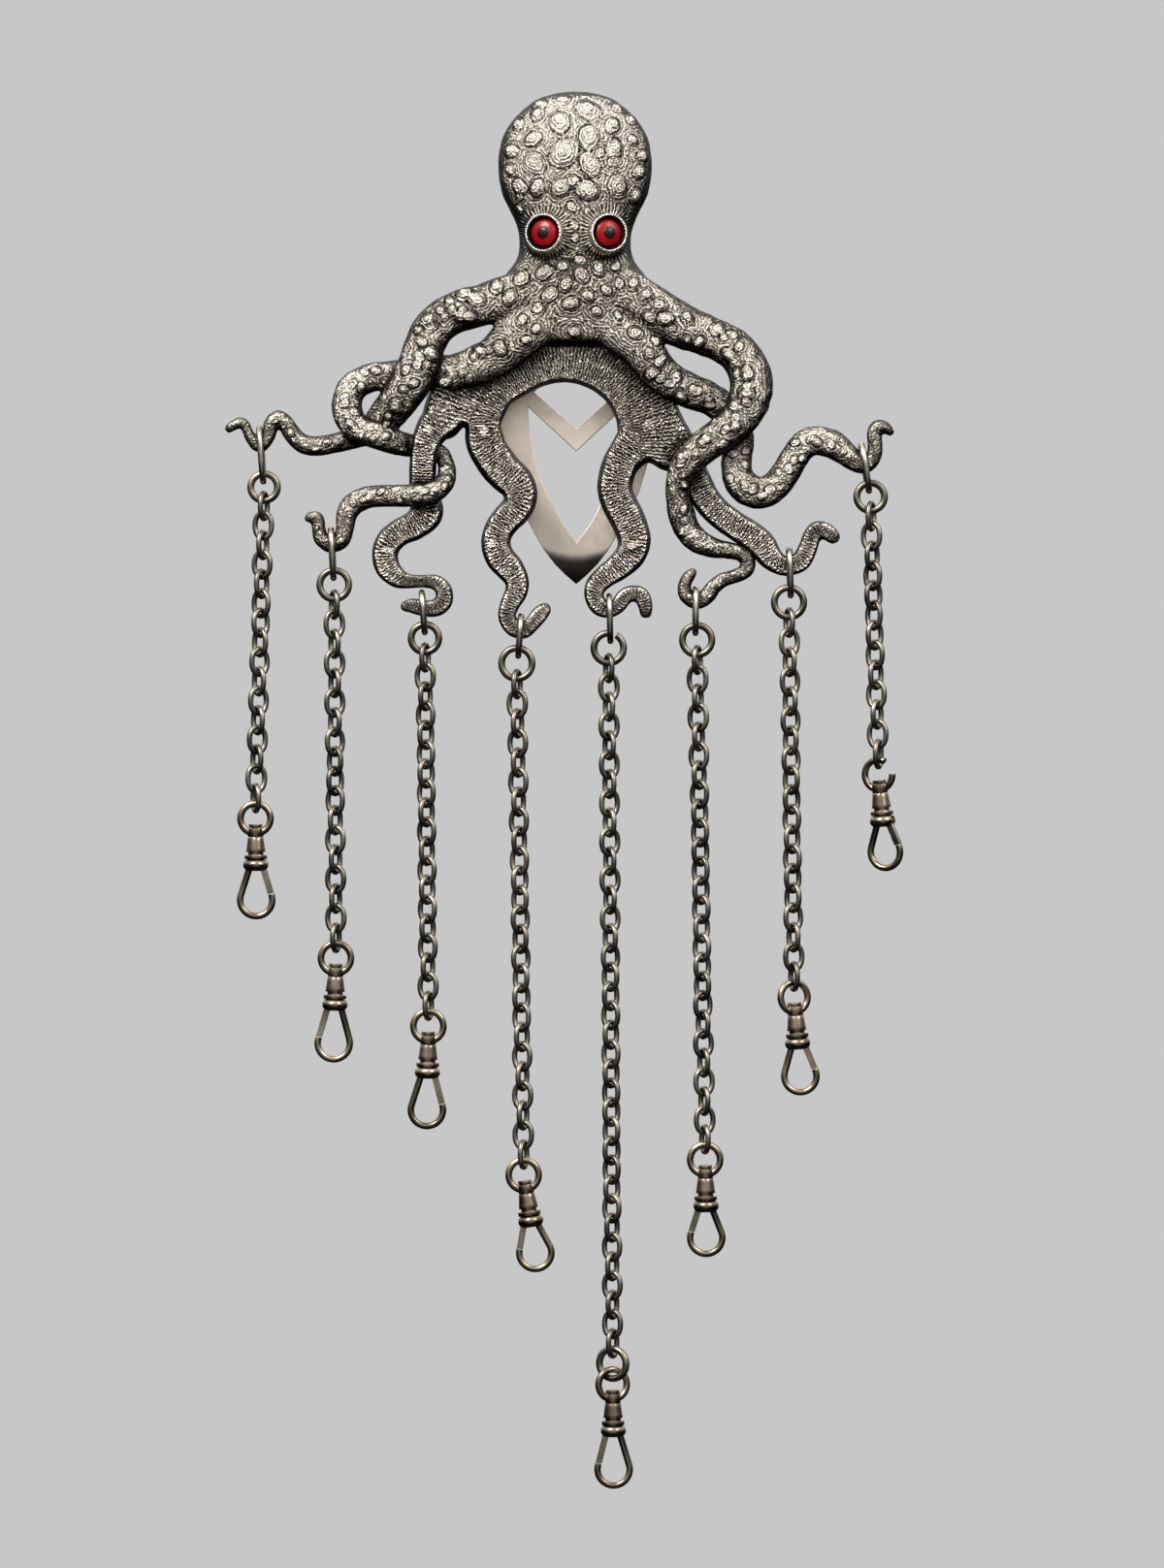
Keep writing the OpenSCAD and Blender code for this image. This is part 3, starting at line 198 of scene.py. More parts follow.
# Wires and widths of the hangers, rings and links, and the play between them.
HANGER_WIRE, HANGER_W, RING_WIRE, LINK_WIRE, LINK_W = 1.1, 6.2, 1.25, 0.98, 4.15
LINK_PLAY, RING_PLAY, HANGER_PLAY, TWO_RING_PLAY = 0.12, 0.2, 0.2, 0.38
BOW_D, BOW_WIRE, EXTRA_RING_D = 6.46, 1.2, 6.5
# The chain in the middle has a second ring at its foot, and its top ring is open: its wire runs over this
# sweep from the +X side and is then turned about Y, both in degrees.
MIDDLE_CHAIN, OPEN_SWEEP, OPEN_TURN = 4, -345, -60


# Meshes
def ring_faces(rows, sides, closed_rows=False):
    """Faces of a skin over rings of points: each joins neighbours j and j + 1 of rings i and i + 1."""
    i = np.arange(rows if closed_rows else rows - 1)[:, None]
    j = np.arange(sides)[None, :]
    k = (i + 1) % rows
    n = (j + 1) % sides
    return np.stack([i * sides + j, i * sides + n, k * sides + n, k * sides + j], -1).reshape(-1, 4)


def end_faces(rows, sides):
    """The many-sided faces that close the first and the last ring."""
    return np.arange(sides)[::-1], (rows - 1) * sides + np.arange(sides)


def new_mesh(name, points, quads, ends=()):
    """A mesh of quads from arrays in millimetres, with a many-sided face for each listed end."""
    faces = quads.tolist() + [e.tolist() for e in ends]
    mesh = bpy.data.meshes.new(name)
    mesh.from_pydata((points * MM).tolist(), [], faces)
    mesh.polygons.foreach_set("use_smooth", np.ones(len(mesh.polygons), bool))
    mesh.update()
    return mesh


def new_object(name, data):
    """A mesh, a lamp or a camera put in the scene."""
    thing = bpy.data.objects.new(name, data)
    bpy.context.scene.collection.objects.link(thing)
    return thing


def new_piece(name, mesh, body, slot, material, *nodes):
    """Puts a mesh in the scene as a piece that rides on a body and stands for its CAD nodes."""
    piece = new_object(name, mesh)
    mesh.materials.clear()
    mesh.materials.append(material)
    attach(piece, body)
    if nodes:
        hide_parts(*nodes)
    return piece


def fixed_piece(name, part, slot, material, *nodes):
    """A piece on the body that holds still, from its points, quads and ends."""
    return new_piece(name, new_mesh(name, *part), "root", slot, material, *nodes)


def joined(parts):
    """Points and faces of several (points, quads, ends) put together into one of each."""
    starts = np.cumsum([0] + [len(p[0]) for p in parts[:-1]])
    points = np.concatenate([p[0] for p in parts])
    quads = np.concatenate([p[1] + s for p, s in zip(parts, starts)])
    ends = [e + s for p, s in zip(parts, starts) for e in p[2]]
    return points, quads, ends


def turn_matrix(axis, degrees):
    """Rotation about a main axis by the right-hand rule."""
    a = np.radians(degrees)
    c, s = np.cos(a), np.sin(a)
    return {"x": np.array([[1, 0, 0], [0, c, -s], [0, s, c]]),
            "y": np.array([[c, 0, s], [0, 1, 0], [-s, 0, c]]),
            "z": np.array([[c, -s, 0], [s, c, 0], [0, 0, 1]])}[axis]


def wire_on(path, wire, sides, closed=True):
    """Round wire along a flat path in the XZ plane: at each path point p with heading t, the circle
    p + wire / 2 * (cos a * n + sin a * Y), where n is the heading turned a quarter in the plane."""
    if closed:
        heading = np.roll(path, -1, 0) - np.roll(path, 1, 0)
    else:
        heading = np.gradient(path, axis=0)
    heading /= np.linalg.norm(heading, axis=1)[:, None]
    across = np.stack([heading[:, 2], np.zeros(len(path)), -heading[:, 0]], 1)
    a = np.arange(sides) * 2 * np.pi / sides
    circle = np.cos(a)[None, :, None] * across[:, None, :] + np.sin(a)[None, :, None] * np.array([0, 1, 0])
    points = path[:, None, :] + wire / 2 * circle
    ends = () if closed else end_faces(len(path), sides)
    return points.reshape(-1, 3), ring_faces(len(path), sides, closed), ends


def oval_path(long, wide, wire, steps, power):
    """Middle line of an oval wire: |x / a| ** power + |z / b| ** power = 1, with a and b half its width and
    length less half the wire."""
    turn = np.arange(steps) * 2 * np.pi / steps
    c, s = np.cos(turn), np.sin(turn)
    x = (wide - wire) / 2 * np.sign(c) * np.abs(c) ** (2 / power)
    z = (long - wire) / 2 * np.sign(s) * np.abs(s) ** (2 / power)
    return np.stack([x, 0 * x, z], 1)


def ring_path(outer_d, wire, steps, sweep=360):
    """Middle line of a round wire ring in the XZ plane, over a sweep from the +X side."""
    a = np.radians(sweep) * np.arange(steps) / (steps if sweep == 360 else steps - 1)
    return (outer_d - wire) / 2 * np.stack([np.cos(a), 0 * a, np.sin(a)], 1)


def revolved(profile, sides):
    """A turned shape about Z: each profile point (r, z) goes round a full circle; both ends are closed."""
    profile = np.asarray(profile, float)
    a = np.arange(sides) * 2 * np.pi / sides
    points = np.stack([profile[:, :1] * np.cos(a), profile[:, :1] * np.sin(a),
                       np.repeat(profile[:, 1:], sides, 1)], -1)
    return points.reshape(-1, 3), ring_faces(len(profile), sides), end_faces(len(profile), sides)


def placed(part, turn, shift):
    """A part's points turned by a matrix and moved."""
    return (part[0] @ np.asarray(turn).T + np.asarray(shift, float), *part[1:])


# Materials
class Term:
    """A value that a material works out at every point. Arithmetic with terms adds the nodes for it."""

    def __init__(self, recipe, socket):
        self.recipe = recipe
        self.socket = socket

    def __add__(self, other):
        return self.recipe.worked("ADD", self, other)

    def __sub__(self, other):
        return self.recipe.worked("SUBTRACT", self, other)

    def __rsub__(self, other):
        return self.recipe.worked("SUBTRACT", other, self)

    def __mul__(self, other):
        return self.recipe.worked("MULTIPLY", self, other)


class Recipe:
    """The nodes of a material or of the world, and short ways to add to them."""

    def __init__(self, tree):
        self.tree = tree

    def feed(self, node, inputs):
        """Sets a node's inputs, each to a number, a colour or a term."""
        for key, value in inputs.items():
            if isinstance(value, Term):
                self.tree.links.new(value.socket, node.inputs[key])
            else:
                node.inputs[key].default_value = value

    def add(self, kind, inputs, output=0, **settings):
        """One output of a new node."""
        node = self.tree.nodes.new("ShaderNode" + kind)
        for key, value in settings.items():
            setattr(node, key, value)
        self.feed(node, inputs)
        return Term(self, node.outputs[output])

    def worked(self, operation, *values):
        return self.add("Math", dict(enumerate(values)), operation=operation)

    def place(self, kind="Object"):
        """The point's x, y and z."""
        split = self.tree.nodes.new("ShaderNodeSeparateXYZ")
        self.feed(split, {0: self.add("TexCoord", {}, kind)})
        return [Term(self, output) for output in split.outputs]

    def noise(self, scale, detail, roughness=0.6, at=None):
        at = at or self.add("TexCoord", {}, "Object")
        inputs = {"Vector": at, "Scale": scale, "Detail": detail, "Roughness": roughness}
        return self.add("TexNoise", inputs, "Fac")

    def ranged(self, value, start, end, low=0.0, high=1.0, kind="LINEAR"):
        """Low at start, high at end, between them on the way and held beyond."""
        inputs = {"Value": value, "From Min": start, "From Max": end, "To Min": low, "To Max": high}
        return self.add("MapRange", inputs, "Result", interpolation_type=kind)

    def attribute(self, name):
        return self.add("Attribute", {}, "Fac", attribute_name=name)

    def blend(self, share, first, second):
        """The second colour by its share over the first."""
        return self.add("Mix", {"Factor": share, "A": first, "B": second}, "Result", data_type="RGBA")

    def ramp(self, value, stops):
        """The colour for a value, from stops of place and colour in rising order."""
        colour = self.add("ValToRGB", {"Fac": value}, "Color")
        elements = colour.socket.node.color_ramp.elements
        for element, (position, shade) in zip(elements, (stops[0], stops[-1])):
            element.position = position
            element.color = (*shade, 1)
        for position, shade in stops[1:-1]:
            elements.new(position).color = (*shade, 1)
        return colour

    def bump(self, height, strength, distance):
        return self.add("Bump", {"Height": height, "Strength": strength, "Distance": distance}, "Normal")


def new_material(name):
    """A material, its recipe and its shader."""
    m = bpy.data.materials.new(name)
    m.use_nodes = True
    return m, Recipe(m.node_tree), m.node_tree.nodes["Principled BSDF"]


def metal_material(name, low, high, roughness, grain, bump):
    """Worn oxidised metal: a broad noise mixes the dark patina into the bare metal, and a fine one, of
    grain spots to a metre, roughens it."""
    m, recipe, shader = new_material(name)
    grit = recipe.noise(grain, 4.0)
    patina = recipe.ranged(recipe.noise(grain * 0.25, 3.0, 0.55), 0.3, 0.7)
    recipe.feed(shader, {"Metallic": 1.0,
                         "Base Color": recipe.blend(patina, (*low, 1), (*high, 1)),
                         "Roughness": recipe.ranged(grit, 0.3, 0.7, roughness * 0.8, roughness * 1.3),
                         "Normal": recipe.bump(grit, bump, 0.06 * MM)})
    return m


def painted_tip_shade(material):
    """Painted shade on the plate's curled tip, which bends back so that its face turns downwards, with x and
    z in
    metres: dark where z lies below -0.041 + 50 * x ** 2, with a soft edge, so that it reaches higher at the
    sides.
    A painted shade also darkens the plate towards it from z = -0.018. The front leaf, at y < 0, has neither."""
    recipe = Recipe(material.node_tree)
    shader = material.node_tree.nodes["Principled BSDF"]
    x, y, z = recipe.place()
    tip_shade = recipe.ranged(z - x * x * 50.0, -0.0424, -0.0398, 1.0, 0.0, "SMOOTHSTEP")
    lower_shade = recipe.ranged(z, -0.018, -0.037, 0.0, 0.38)
    share = recipe.worked("MAXIMUM", tip_shade, lower_shade) * recipe.ranged(y, 0.0, 0.1 * MM)
    bare = Term(recipe, shader.inputs["Base Color"].links[0].from_socket)
    # Both painted shades draw the bare silver towards one near-black colour.
    recipe.feed(shader, {"Base Color": recipe.blend(share, bare, (0.09, 0.08, 0.072, 1))})


# The silver of the octopus by its rub, which also carries painted light and shade: black patina and painted
# shade, dark grey, worn and bare.
SILVER_TONES = [(0.1, (0.010, 0.009, 0.008)), (0.36, (0.13, 0.117, 0.10)), (0.56, (0.50, 0.46, 0.405)),
                (0.9, (0.86, 0.81, 0.74))]


def octopus_silver():
    """Oxidised silver, rubbed bright on what stands high, with the painted light and shade that the skins
    carry in their rub. The rings round the warts are waves of the distance from them, the rays round the eyes
    waves of the angle round each eye, and the strokes across the lower arms and the web waves of the length
    along them. Noise shifts every wave and so breaks it up."""
    m, recipe, shader = new_material("octopus_silver")
    x, _, z = recipe.place()
    along = recipe.attribute("along_mm")
    lower = recipe.attribute("lower")
    wobble = recipe.noise(700.0, 2.0)
    patches = recipe.add("CombineXYZ", {0: along * 1.3, 1: recipe.attribute("across_mm") * 1.7})
    strokes = recipe.worked("SINE", along * 12.0 + recipe.noise(1.0, 1.0, at=patches) * 11.0)
    strokes = strokes * recipe.ranged(wobble, 0.35, 0.6, 0.5, 1.5)
    rings = recipe.worked("SINE", recipe.attribute("ring_mm") * 11.0 + wobble * 14.0)
    eye_x = recipe.worked("ABSOLUTE", x) - EYE_X * MM
    eye_z = z - EYE_Z * MM
    near_eye = recipe.worked("SQRT", eye_x * eye_x + eye_z * eye_z)
    near_eye = recipe.ranged(near_eye, 5.6 * MM, 4.4 * MM)
    rays = recipe.worked("SINE", recipe.worked("ARCTAN2", eye_z, eye_x) * 46.0 + wobble * 7.0)
    rings = rings * recipe.attribute("ringed") * (1.0 - near_eye) + rays * near_eye
    lines = rings * (1.0 - lower) + strokes * lower
    spots = (recipe.noise(2500.0, 3.0) - 0.5) * (3.4 - lower * 1.4)
    cut = (lines * 0.8 + spots) * recipe.attribute("cut_depth")
    # The rub attribute brings in the painted light and shade of the skins as well as their wear.
    wear_and_painted_light = recipe.attribute("rub") + cut * 0.32 + (recipe.noise(3200.0, 3.0) - 0.5) * 0.25
    recipe.feed(shader, {"Metallic": 1.0,
                         "Base Color": recipe.ramp(wear_and_painted_light, SILVER_TONES),
                         "Roughness": recipe.ranged(wear_and_painted_light, 0.2, 0.9, 0.45, 0.25),
                         "Normal": recipe.bump(cut, 1.0, 0.16 * MM)})
    return m


def glass_material(name, colour, roughness):
    """Glass that shows its colour, a little darker in patches."""
    m, recipe, shader = new_material(name)
    tones = [(0.3, [0.8 * c for c in colour]), (0.7, colour)]
    recipe.feed(shader, {"Base Color": recipe.ramp(recipe.noise(700.0, 2.0, 0.5), tones),
                         "Roughness": roughness, "IOR": 1.5, "Specular IOR Level": 0.3})
    return m


silver_skin = octopus_silver()
plate_silver = metal_material("hook_plate", (0.94, 0.84, 0.73), (1.0, 0.90, 0.79), 0.4, 300.0, 0.12)
painted_tip_shade(plate_silver)
hanger_silver = metal_material("hanger_silver", (0.185, 0.168, 0.147), (0.5, 0.465, 0.413), 0.24, 500.0, 0.06)
ring_silver = metal_material("ring_silver", (0.085, 0.075, 0.061), (0.25, 0.225, 0.188), 0.32, 500.0, 0.05)
chain_silver = metal_material("chain_silver", (0.085, 0.076, 0.063), (0.25, 0.226, 0.19), 0.32, 500.0, 0.05)
clip_metal = metal_material("clip_metal", (0.10, 0.08, 0.058), (0.34, 0.285, 0.215), 0.22, 500.0, 0.06)
gate_metal = metal_material("gate_metal", (0.15, 0.13, 0.10), (0.44, 0.39, 0.32), 0.24, 500.0, 0.06)
red_glass = glass_material("red_glass", (0.2, 0.0008, 0.003), 0.25)
black_glass = glass_material("black_glass", (0.006, 0.003, 0.003), 0.3)


# Octopus
def smooth_rows(rows, per_row):
    """Rows carried on smoothly: a cubic through every four neighbours, with many steps to a row."""
    rows = np.asarray(rows, float)
    ext = np.concatenate([rows[:1], rows, rows[-1:]])
    a, b, c, d = ext[:-3, None], ext[1:-2, None], ext[2:-1, None], ext[3:, None]
    t = (np.arange(per_row) / per_row)[None, :, None]
    out = (b + (c - a) * t / 2 + (a - 2.5 * b + 2 * c - d / 2) * t ** 2
           + ((d - a) / 2 + 1.5 * (b - c)) * t ** 3)
    return np.concatenate([out.reshape(-1, rows.shape[1]), rows[-1:]])


def arm_line(rows):
    """An arm's dense middle line with its headings, and the length along it."""
    line = smooth_rows(rows, 12)
    heading = np.gradient(line[:, :2], axis=0)
    heading /= np.linalg.norm(heading, axis=1)[:, None]
    steps = np.linalg.norm(np.diff(line[:, [0, 2, 1]], axis=0), axis=1)
    return line, heading, np.concatenate([[0], np.cumsum(steps)])


def arm_depth(half_w):
    """Half an arm's depth from half its width."""
    return 0.8 * half_w + 0.15


# One side of a lower arm's section, from the middle of its face round to its back: share of the half width,
# share of the depth.
PLATEAU = [
    [0.0, -0.92], [0.3, -0.92], [0.5, -0.93], [0.62, -0.97], [0.69, -1.0], [0.76, -0.95], [0.82, -0.72],
    [0.9, -0.35], [1.0, 0.1], [1.0, 0.45], [0.93, 0.85], [0.6, 1.0], [0.0, 1.0]]
ROUND_SIDES = 28
# Turns along the quarter circle in which an arm's tip closes.
TIP_TURNS = np.radians([30, 55, 75, 88])


def round_section():
    """A squared oval: |u| ** 2.3 + |v| ** 2.3 = 1."""
    a = (np.arange(ROUND_SIDES) + 0.5) * 2 * np.pi / ROUND_SIDES
    u, v = np.cos(a), np.sin(a)
    return np.sign(u) * np.abs(u) ** (2 / 2.3), np.sign(v) * np.abs(v) ** (2 / 2.3)


def plateau_section():
    """A flat face with a low rim and steep sides, the same to the left and to the right."""
    half = np.array(PLATEAU)
    loop = np.concatenate([half, (half * [-1, 1])[-2:0:-1]])
    return loop[:, 0], loop[:, 1]


def arm_skin(rows, section):
    """An arm: its section (u, v) at every point of its middle line, as wide and as deep as the arm is there;
    at the tip the sections shrink along a quarter circle."""
    line, heading, _ = arm_line(rows)
    x, z, y, half = line[-1]
    ahead, shrink = np.sin(TIP_TURNS), np.cos(TIP_TURNS)
    extra = np.stack([x + heading[-1, 0] * half * ahead, z + heading[-1, 1] * half * ahead,
                      0 * ahead + y, half * shrink], 1)
    line = np.concatenate([line, extra])
    heading = np.concatenate([heading, np.repeat(heading[-1:], len(extra), 0)])
    u, v = section
    depth = arm_depth(line[:, 3])
    depth[-len(extra):] *= extra[:, 3] / (extra[:, 3] + 0.3)
    x = line[:, 0:1] + heading[:, 1:2] * line[:, 3:4] * u
    z = line[:, 1:2] - heading[:, 0:1] * line[:, 3:4] * u
    y = line[:, 2:3] + depth[:, None] * v
    points = np.stack([x, y, z], -1).reshape(-1, 3)
    return points, ring_faces(len(line), len(u)), end_faces(len(line), len(u))


def mantle_skin():
    """The mantle and shoulders: at every height a half ellipse in front of a flat back, whose half width
    and depth follow the table."""
    rows = smooth_rows(MANTLE, 8)
    sides = 40
    a = np.arange(sides) * np.pi / (sides - 1)
    x = MANTLE_X + rows[:, 1:2] * np.cos(a)
    y = -BACK_GAP - rows[:, 2:3] * np.sin(a)
    z = np.repeat(rows[:, :1], sides, 1)
    points = np.stack([x, y, z], -1).reshape(-1, 3)
    return points, ring_faces(len(rows), sides), end_faces(len(rows), sides)


def web_skin():
    """The web: its outline carried from the flat back to its front and drawn in a little at each depth, most
    at the front edge. The outline runs so that its inner side is on the left of its way."""
    edge = smooth_rows(WEB_EDGE + WEB_EDGE[:1], 5)[:-1]
    depth = np.array([0, 0.4, WEB_T - 2.2, WEB_T - 0.7, WEB_T - 0.1, WEB_T + 0.05, WEB_T - 0.05])
    draw = np.array([0.15, 0, 0.2, 0.6, 0.85, 1.05, 1.45])
    way = np.roll(edge, -1, 0) - np.roll(edge, 1, 0)
    way /= np.linalg.norm(way, axis=1)[:, None]
    inward = np.stack([-way[:, 1], way[:, 0]], 1)
    flat = edge[None] + inward[None] * draw[:, None, None]
    y = np.broadcast_to(-BACK_GAP - depth[:, None], flat.shape[:2])
    points = np.stack([flat[..., 0], y, flat[..., 1]], -1).reshape(-1, 3)
    return points, ring_faces(len(depth), len(edge)), end_faces(len(depth), len(edge))


def eye_turn(side):
    """From an eye's own frame, +Z out of the face, to the part's."""
    return turn_matrix("z", side * EYE_TURN) @ turn_matrix("x", 90)


def eye_hill(side):
    """The mound that an eye sits on: a turned cone, sunk into the mantle."""
    hill = revolved([[4.7, -5], [4.6, -2.4], [4.25, -1.2], [3.9, -0.55], [3.6, -0.3], [3.2, -0.4]], 40)
    return placed(hill, eye_turn(side), [side * EYE_X, EYE_Y, EYE_Z])


def fused(name, parts):
    """Closed skins made one: remeshed on a fine cubic grid and returned as arrays in millimetres."""
    rough = new_object(name + "_rough", new_mesh(name + "_rough", *joined(parts)))
    remesh = rough.modifiers.new("fuse", "REMESH")
    remesh.mode = "VOXEL"
    remesh.voxel_size = VOXEL * MM
    done = rough.evaluated_get(bpy.context.evaluated_depsgraph_get()).to_mesh()
    points = np.empty(len(done.vertices) * 3, np.float32)
    done.vertices.foreach_get("co", points)
    corners = np.empty(len(done.loops), np.int64)
    done.loops.foreach_get("vertex_index", corners)
    starts = np.empty(len(done.polygons), np.int64)
    done.polygons.foreach_get("loop_start", starts)
    quads = corners[starts[:, None] + np.arange(4)]
    rough.to_mesh_clear()
    bpy.data.objects.remove(rough)
    return points.reshape(-1, 3).astype(float) / MM, quads


def edges_of(quads):
    """Each edge of the quads once, as two arrays of point numbers."""
    pairs = np.concatenate([quads[:, [0, 1]], quads[:, [1, 2]], quads[:, [2, 3]], quads[:, [3, 0]]])
    pairs = np.unique(np.sort(pairs, 1), axis=0)
    return pairs[:, 0], pairs[:, 1]


def eased(values, edges, times):
    """Values drawn half way to the mean of their neighbours, several times."""
    a, b = edges
    count = len(values)
    degree = np.maximum(np.bincount(np.concatenate([a, b]), minlength=count), 1)
    columns = np.atleast_2d(values.T)
    for _ in range(times):
        mean = np.stack([np.bincount(a, c[b], count) + np.bincount(b, c[a], count) for c in columns]) / degree
        columns = columns + 0.5 * (mean - columns)
    return columns[0] if values.ndim == 1 else columns.T


def normals_of(points, quads):
    """Point normals: the mean of the neighbouring faces' normals."""
    a, b, c, d = (points[quads[:, k]] for k in range(4))
    face = np.cross(c - a, d - b)
    total = np.stack([sum(np.bincount(quads[:, k], face[:, m], len(points)) for k in range(4))
                      for m in range(3)], 1)
    return total / np.maximum(np.linalg.norm(total, axis=1)[:, None], 1e-12)


def nearest_on_arms(points, tables):
    """For every point: its place along and across the nearest arm, that arm's half width there, and how many
    half widths away the arm's middle is."""
    best = np.full(len(points), 1e9)
    along, across = np.zeros((2, len(points)))
    half = np.ones(len(points))
    batch = 20000
    for rows in tables:
        line, heading, length = arm_line(rows)
        middle = line[:, [0, 2, 1]]
        for first in range(0, len(points), batch):
            p = points[first:first + batch]
            gap = ((p[:, None, :] - middle[None]) ** 2).sum(-1)
            k = gap.argmin(1)
            near = np.sqrt(gap[np.arange(len(p)), k]) / line[k, 3]
            out = (p[:, 0] - line[k, 0]) * heading[k, 1] - (p[:, 2] - line[k, 1]) * heading[k, 0]
            ahead = ((p[:, [0, 2]] - line[k, :2]) * heading[k]).sum(1)
            better = near < best[first:first + batch]
            here = np.arange(first, first + len(p))[better]
            best[here] = near[better]
            along[here] = (length[k] + ahead)[better]
            across[here] = out[better]
            half[here] = line[k, 3][better]
    return along, across, half, best


def wart_relief(points, table):
    """Height of the warts over the skin, the distance from the nearest wart, and how deep its rings are cut.
    With t = distance / radius a wart is 1.8 * height * (1 - t ** 2), and a large one has a faint terrace at
    t = 0.62. A groove round it at t = 1.08 comes and goes with the angle, and so does the band of rings,
    wider where more are cut."""
    rise = np.zeros(len(points))
    ring = np.full(len(points), 50.0)
    ringed = np.full(len(points), 0.6)
    for number, (x, y, z, radius, height, cuts) in enumerate(table):
        dx, dz = points[:, 0] - x, points[:, 2] - z
        angle = np.arctan2(dz, dx)
        stretch = 1 + 0.12 * np.sin(2 * angle + number)
        gap = np.sqrt(dx ** 2 + dz ** 2 + (0.55 * (points[:, 1] - y)) ** 2) * stretch
        t = gap / radius
        uneven = 0.6 + 0.4 * np.sin(angle + 2.4 * number)
        dome = 1.8 * height * np.clip(1 - t ** 2, 0, 1)
        dome -= 0.045 * radius * uneven * np.exp(-((t - 0.62) / 0.12) ** 2) * (radius > 1.2)
        groove = -0.09 * uneven * np.exp(-((t - 1.08) / 0.14) ** 2) * (t < 1.6)
        rise = np.where(t < 1, np.maximum(rise, dome), rise + groove)
        band = uneven * np.exp(-((t - 1.25 + 0.15 * cuts) / (0.12 + 0.13 * cuts)) ** 2)
        ringed = np.maximum(ringed, band)
        ring = np.minimum(ring, gap)
    return rise, ring, ringed


def surface_y(points, normals, x, z):
    """Frontmost y of the skin at places x, z, from the nearest points of it that face forwards."""
    skin = points[normals[:, 1] < -0.3]
    out = np.empty(len(x))
    for k in range(len(x)):
        gap = (skin[:, 0] - x[k]) ** 2 + (skin[:, 2] - z[k]) ** 2
        out[k] = skin[np.argpartition(gap, 6)[:6], 1].min()
    return out


def arm_warts(names):
    """Small warts scattered on the arms' fronts, smaller towards the tips: rows of x, y, z, radius, height,
    rings cut round them."""
    start, end_gap, per_mm = 14.0, 2, 0.6
    rows = []
    for name in names:
        line, heading, length = arm_line(ARMS[name])
        count = int((length[-1] - start) * per_mm)
        step = (length[-1] - start - end_gap) / count
        s = start + step * (np.arange(count) + rng.uniform(0, 0.8, count))
        half = np.interp(s, length, line[:, 3])
        u = rng.uniform(-0.62, 0.62, count)
        x = np.interp(s, length, line[:, 0]) + np.interp(s, length, heading[:, 1]) * half * u
        z = np.interp(s, length, line[:, 1]) - np.interp(s, length, heading[:, 0]) * half * u
        y = np.interp(s, length, line[:, 2]) - arm_depth(half) * np.sqrt(1 - u ** 2)
        r = half * rng.uniform(0.16, 0.4, count)
        h = r * rng.uniform(0.2, 0.42, count)
        rows.append(np.stack([x, y, z, r, h, np.ones(count)], 1))
    return np.concatenate(rows)


def lumps(edges, count, times):
    """Even random lumps: noise at every point, eased so that their size grows with the times."""
    values = eased(rng.normal(0, 1, count), edges, times)
    return values / values.std()


def store(mesh, values):
    """Numbers at every point, under names that the materials read."""
    for key, value in values.items():
        attribute = mesh.attributes.new(key, "FLOAT", "POINT")
        attribute.data.foreach_set("value", value.astype(np.float32))


def risen(value, start, end):
    """0 at start and 1 at end, straight between them and held beyond; start may be the larger."""
    return np.clip((value - start) / (end - start), 0, 1)


# How each skin is finished: rounds of easing; where on the turn of its edge the rim runs and how high; rub
# of the plain skin, and how much broad hollows and swellings change it.
UPPER_FINISH = {"easing": 7, "rim_at": 0.3, "rim_rise": 0.05, "rub": 0.44, "broad": 0.09}
LOWER_FINISH = {"easing": 3, "rim_at": 0.2, "rim_rise": 0.17, "rub": 0.38, "broad": 0.15}
# A low bump on the web: y of its middle, radius, height, rings cut round it.
BUMP_Y, BUMP_R, BUMP_H, BUMP_CUTS = -9.3, 1.2, 0.28, 1
# The web as an arm for the strokes on it: millimetres along for a radian round its opening, millimetres
# across for a millimetre away from the opening, and its half width.
WEB_TURN, WEB_SHARE, WEB_HALF = 14.0, 1.4, 4.5


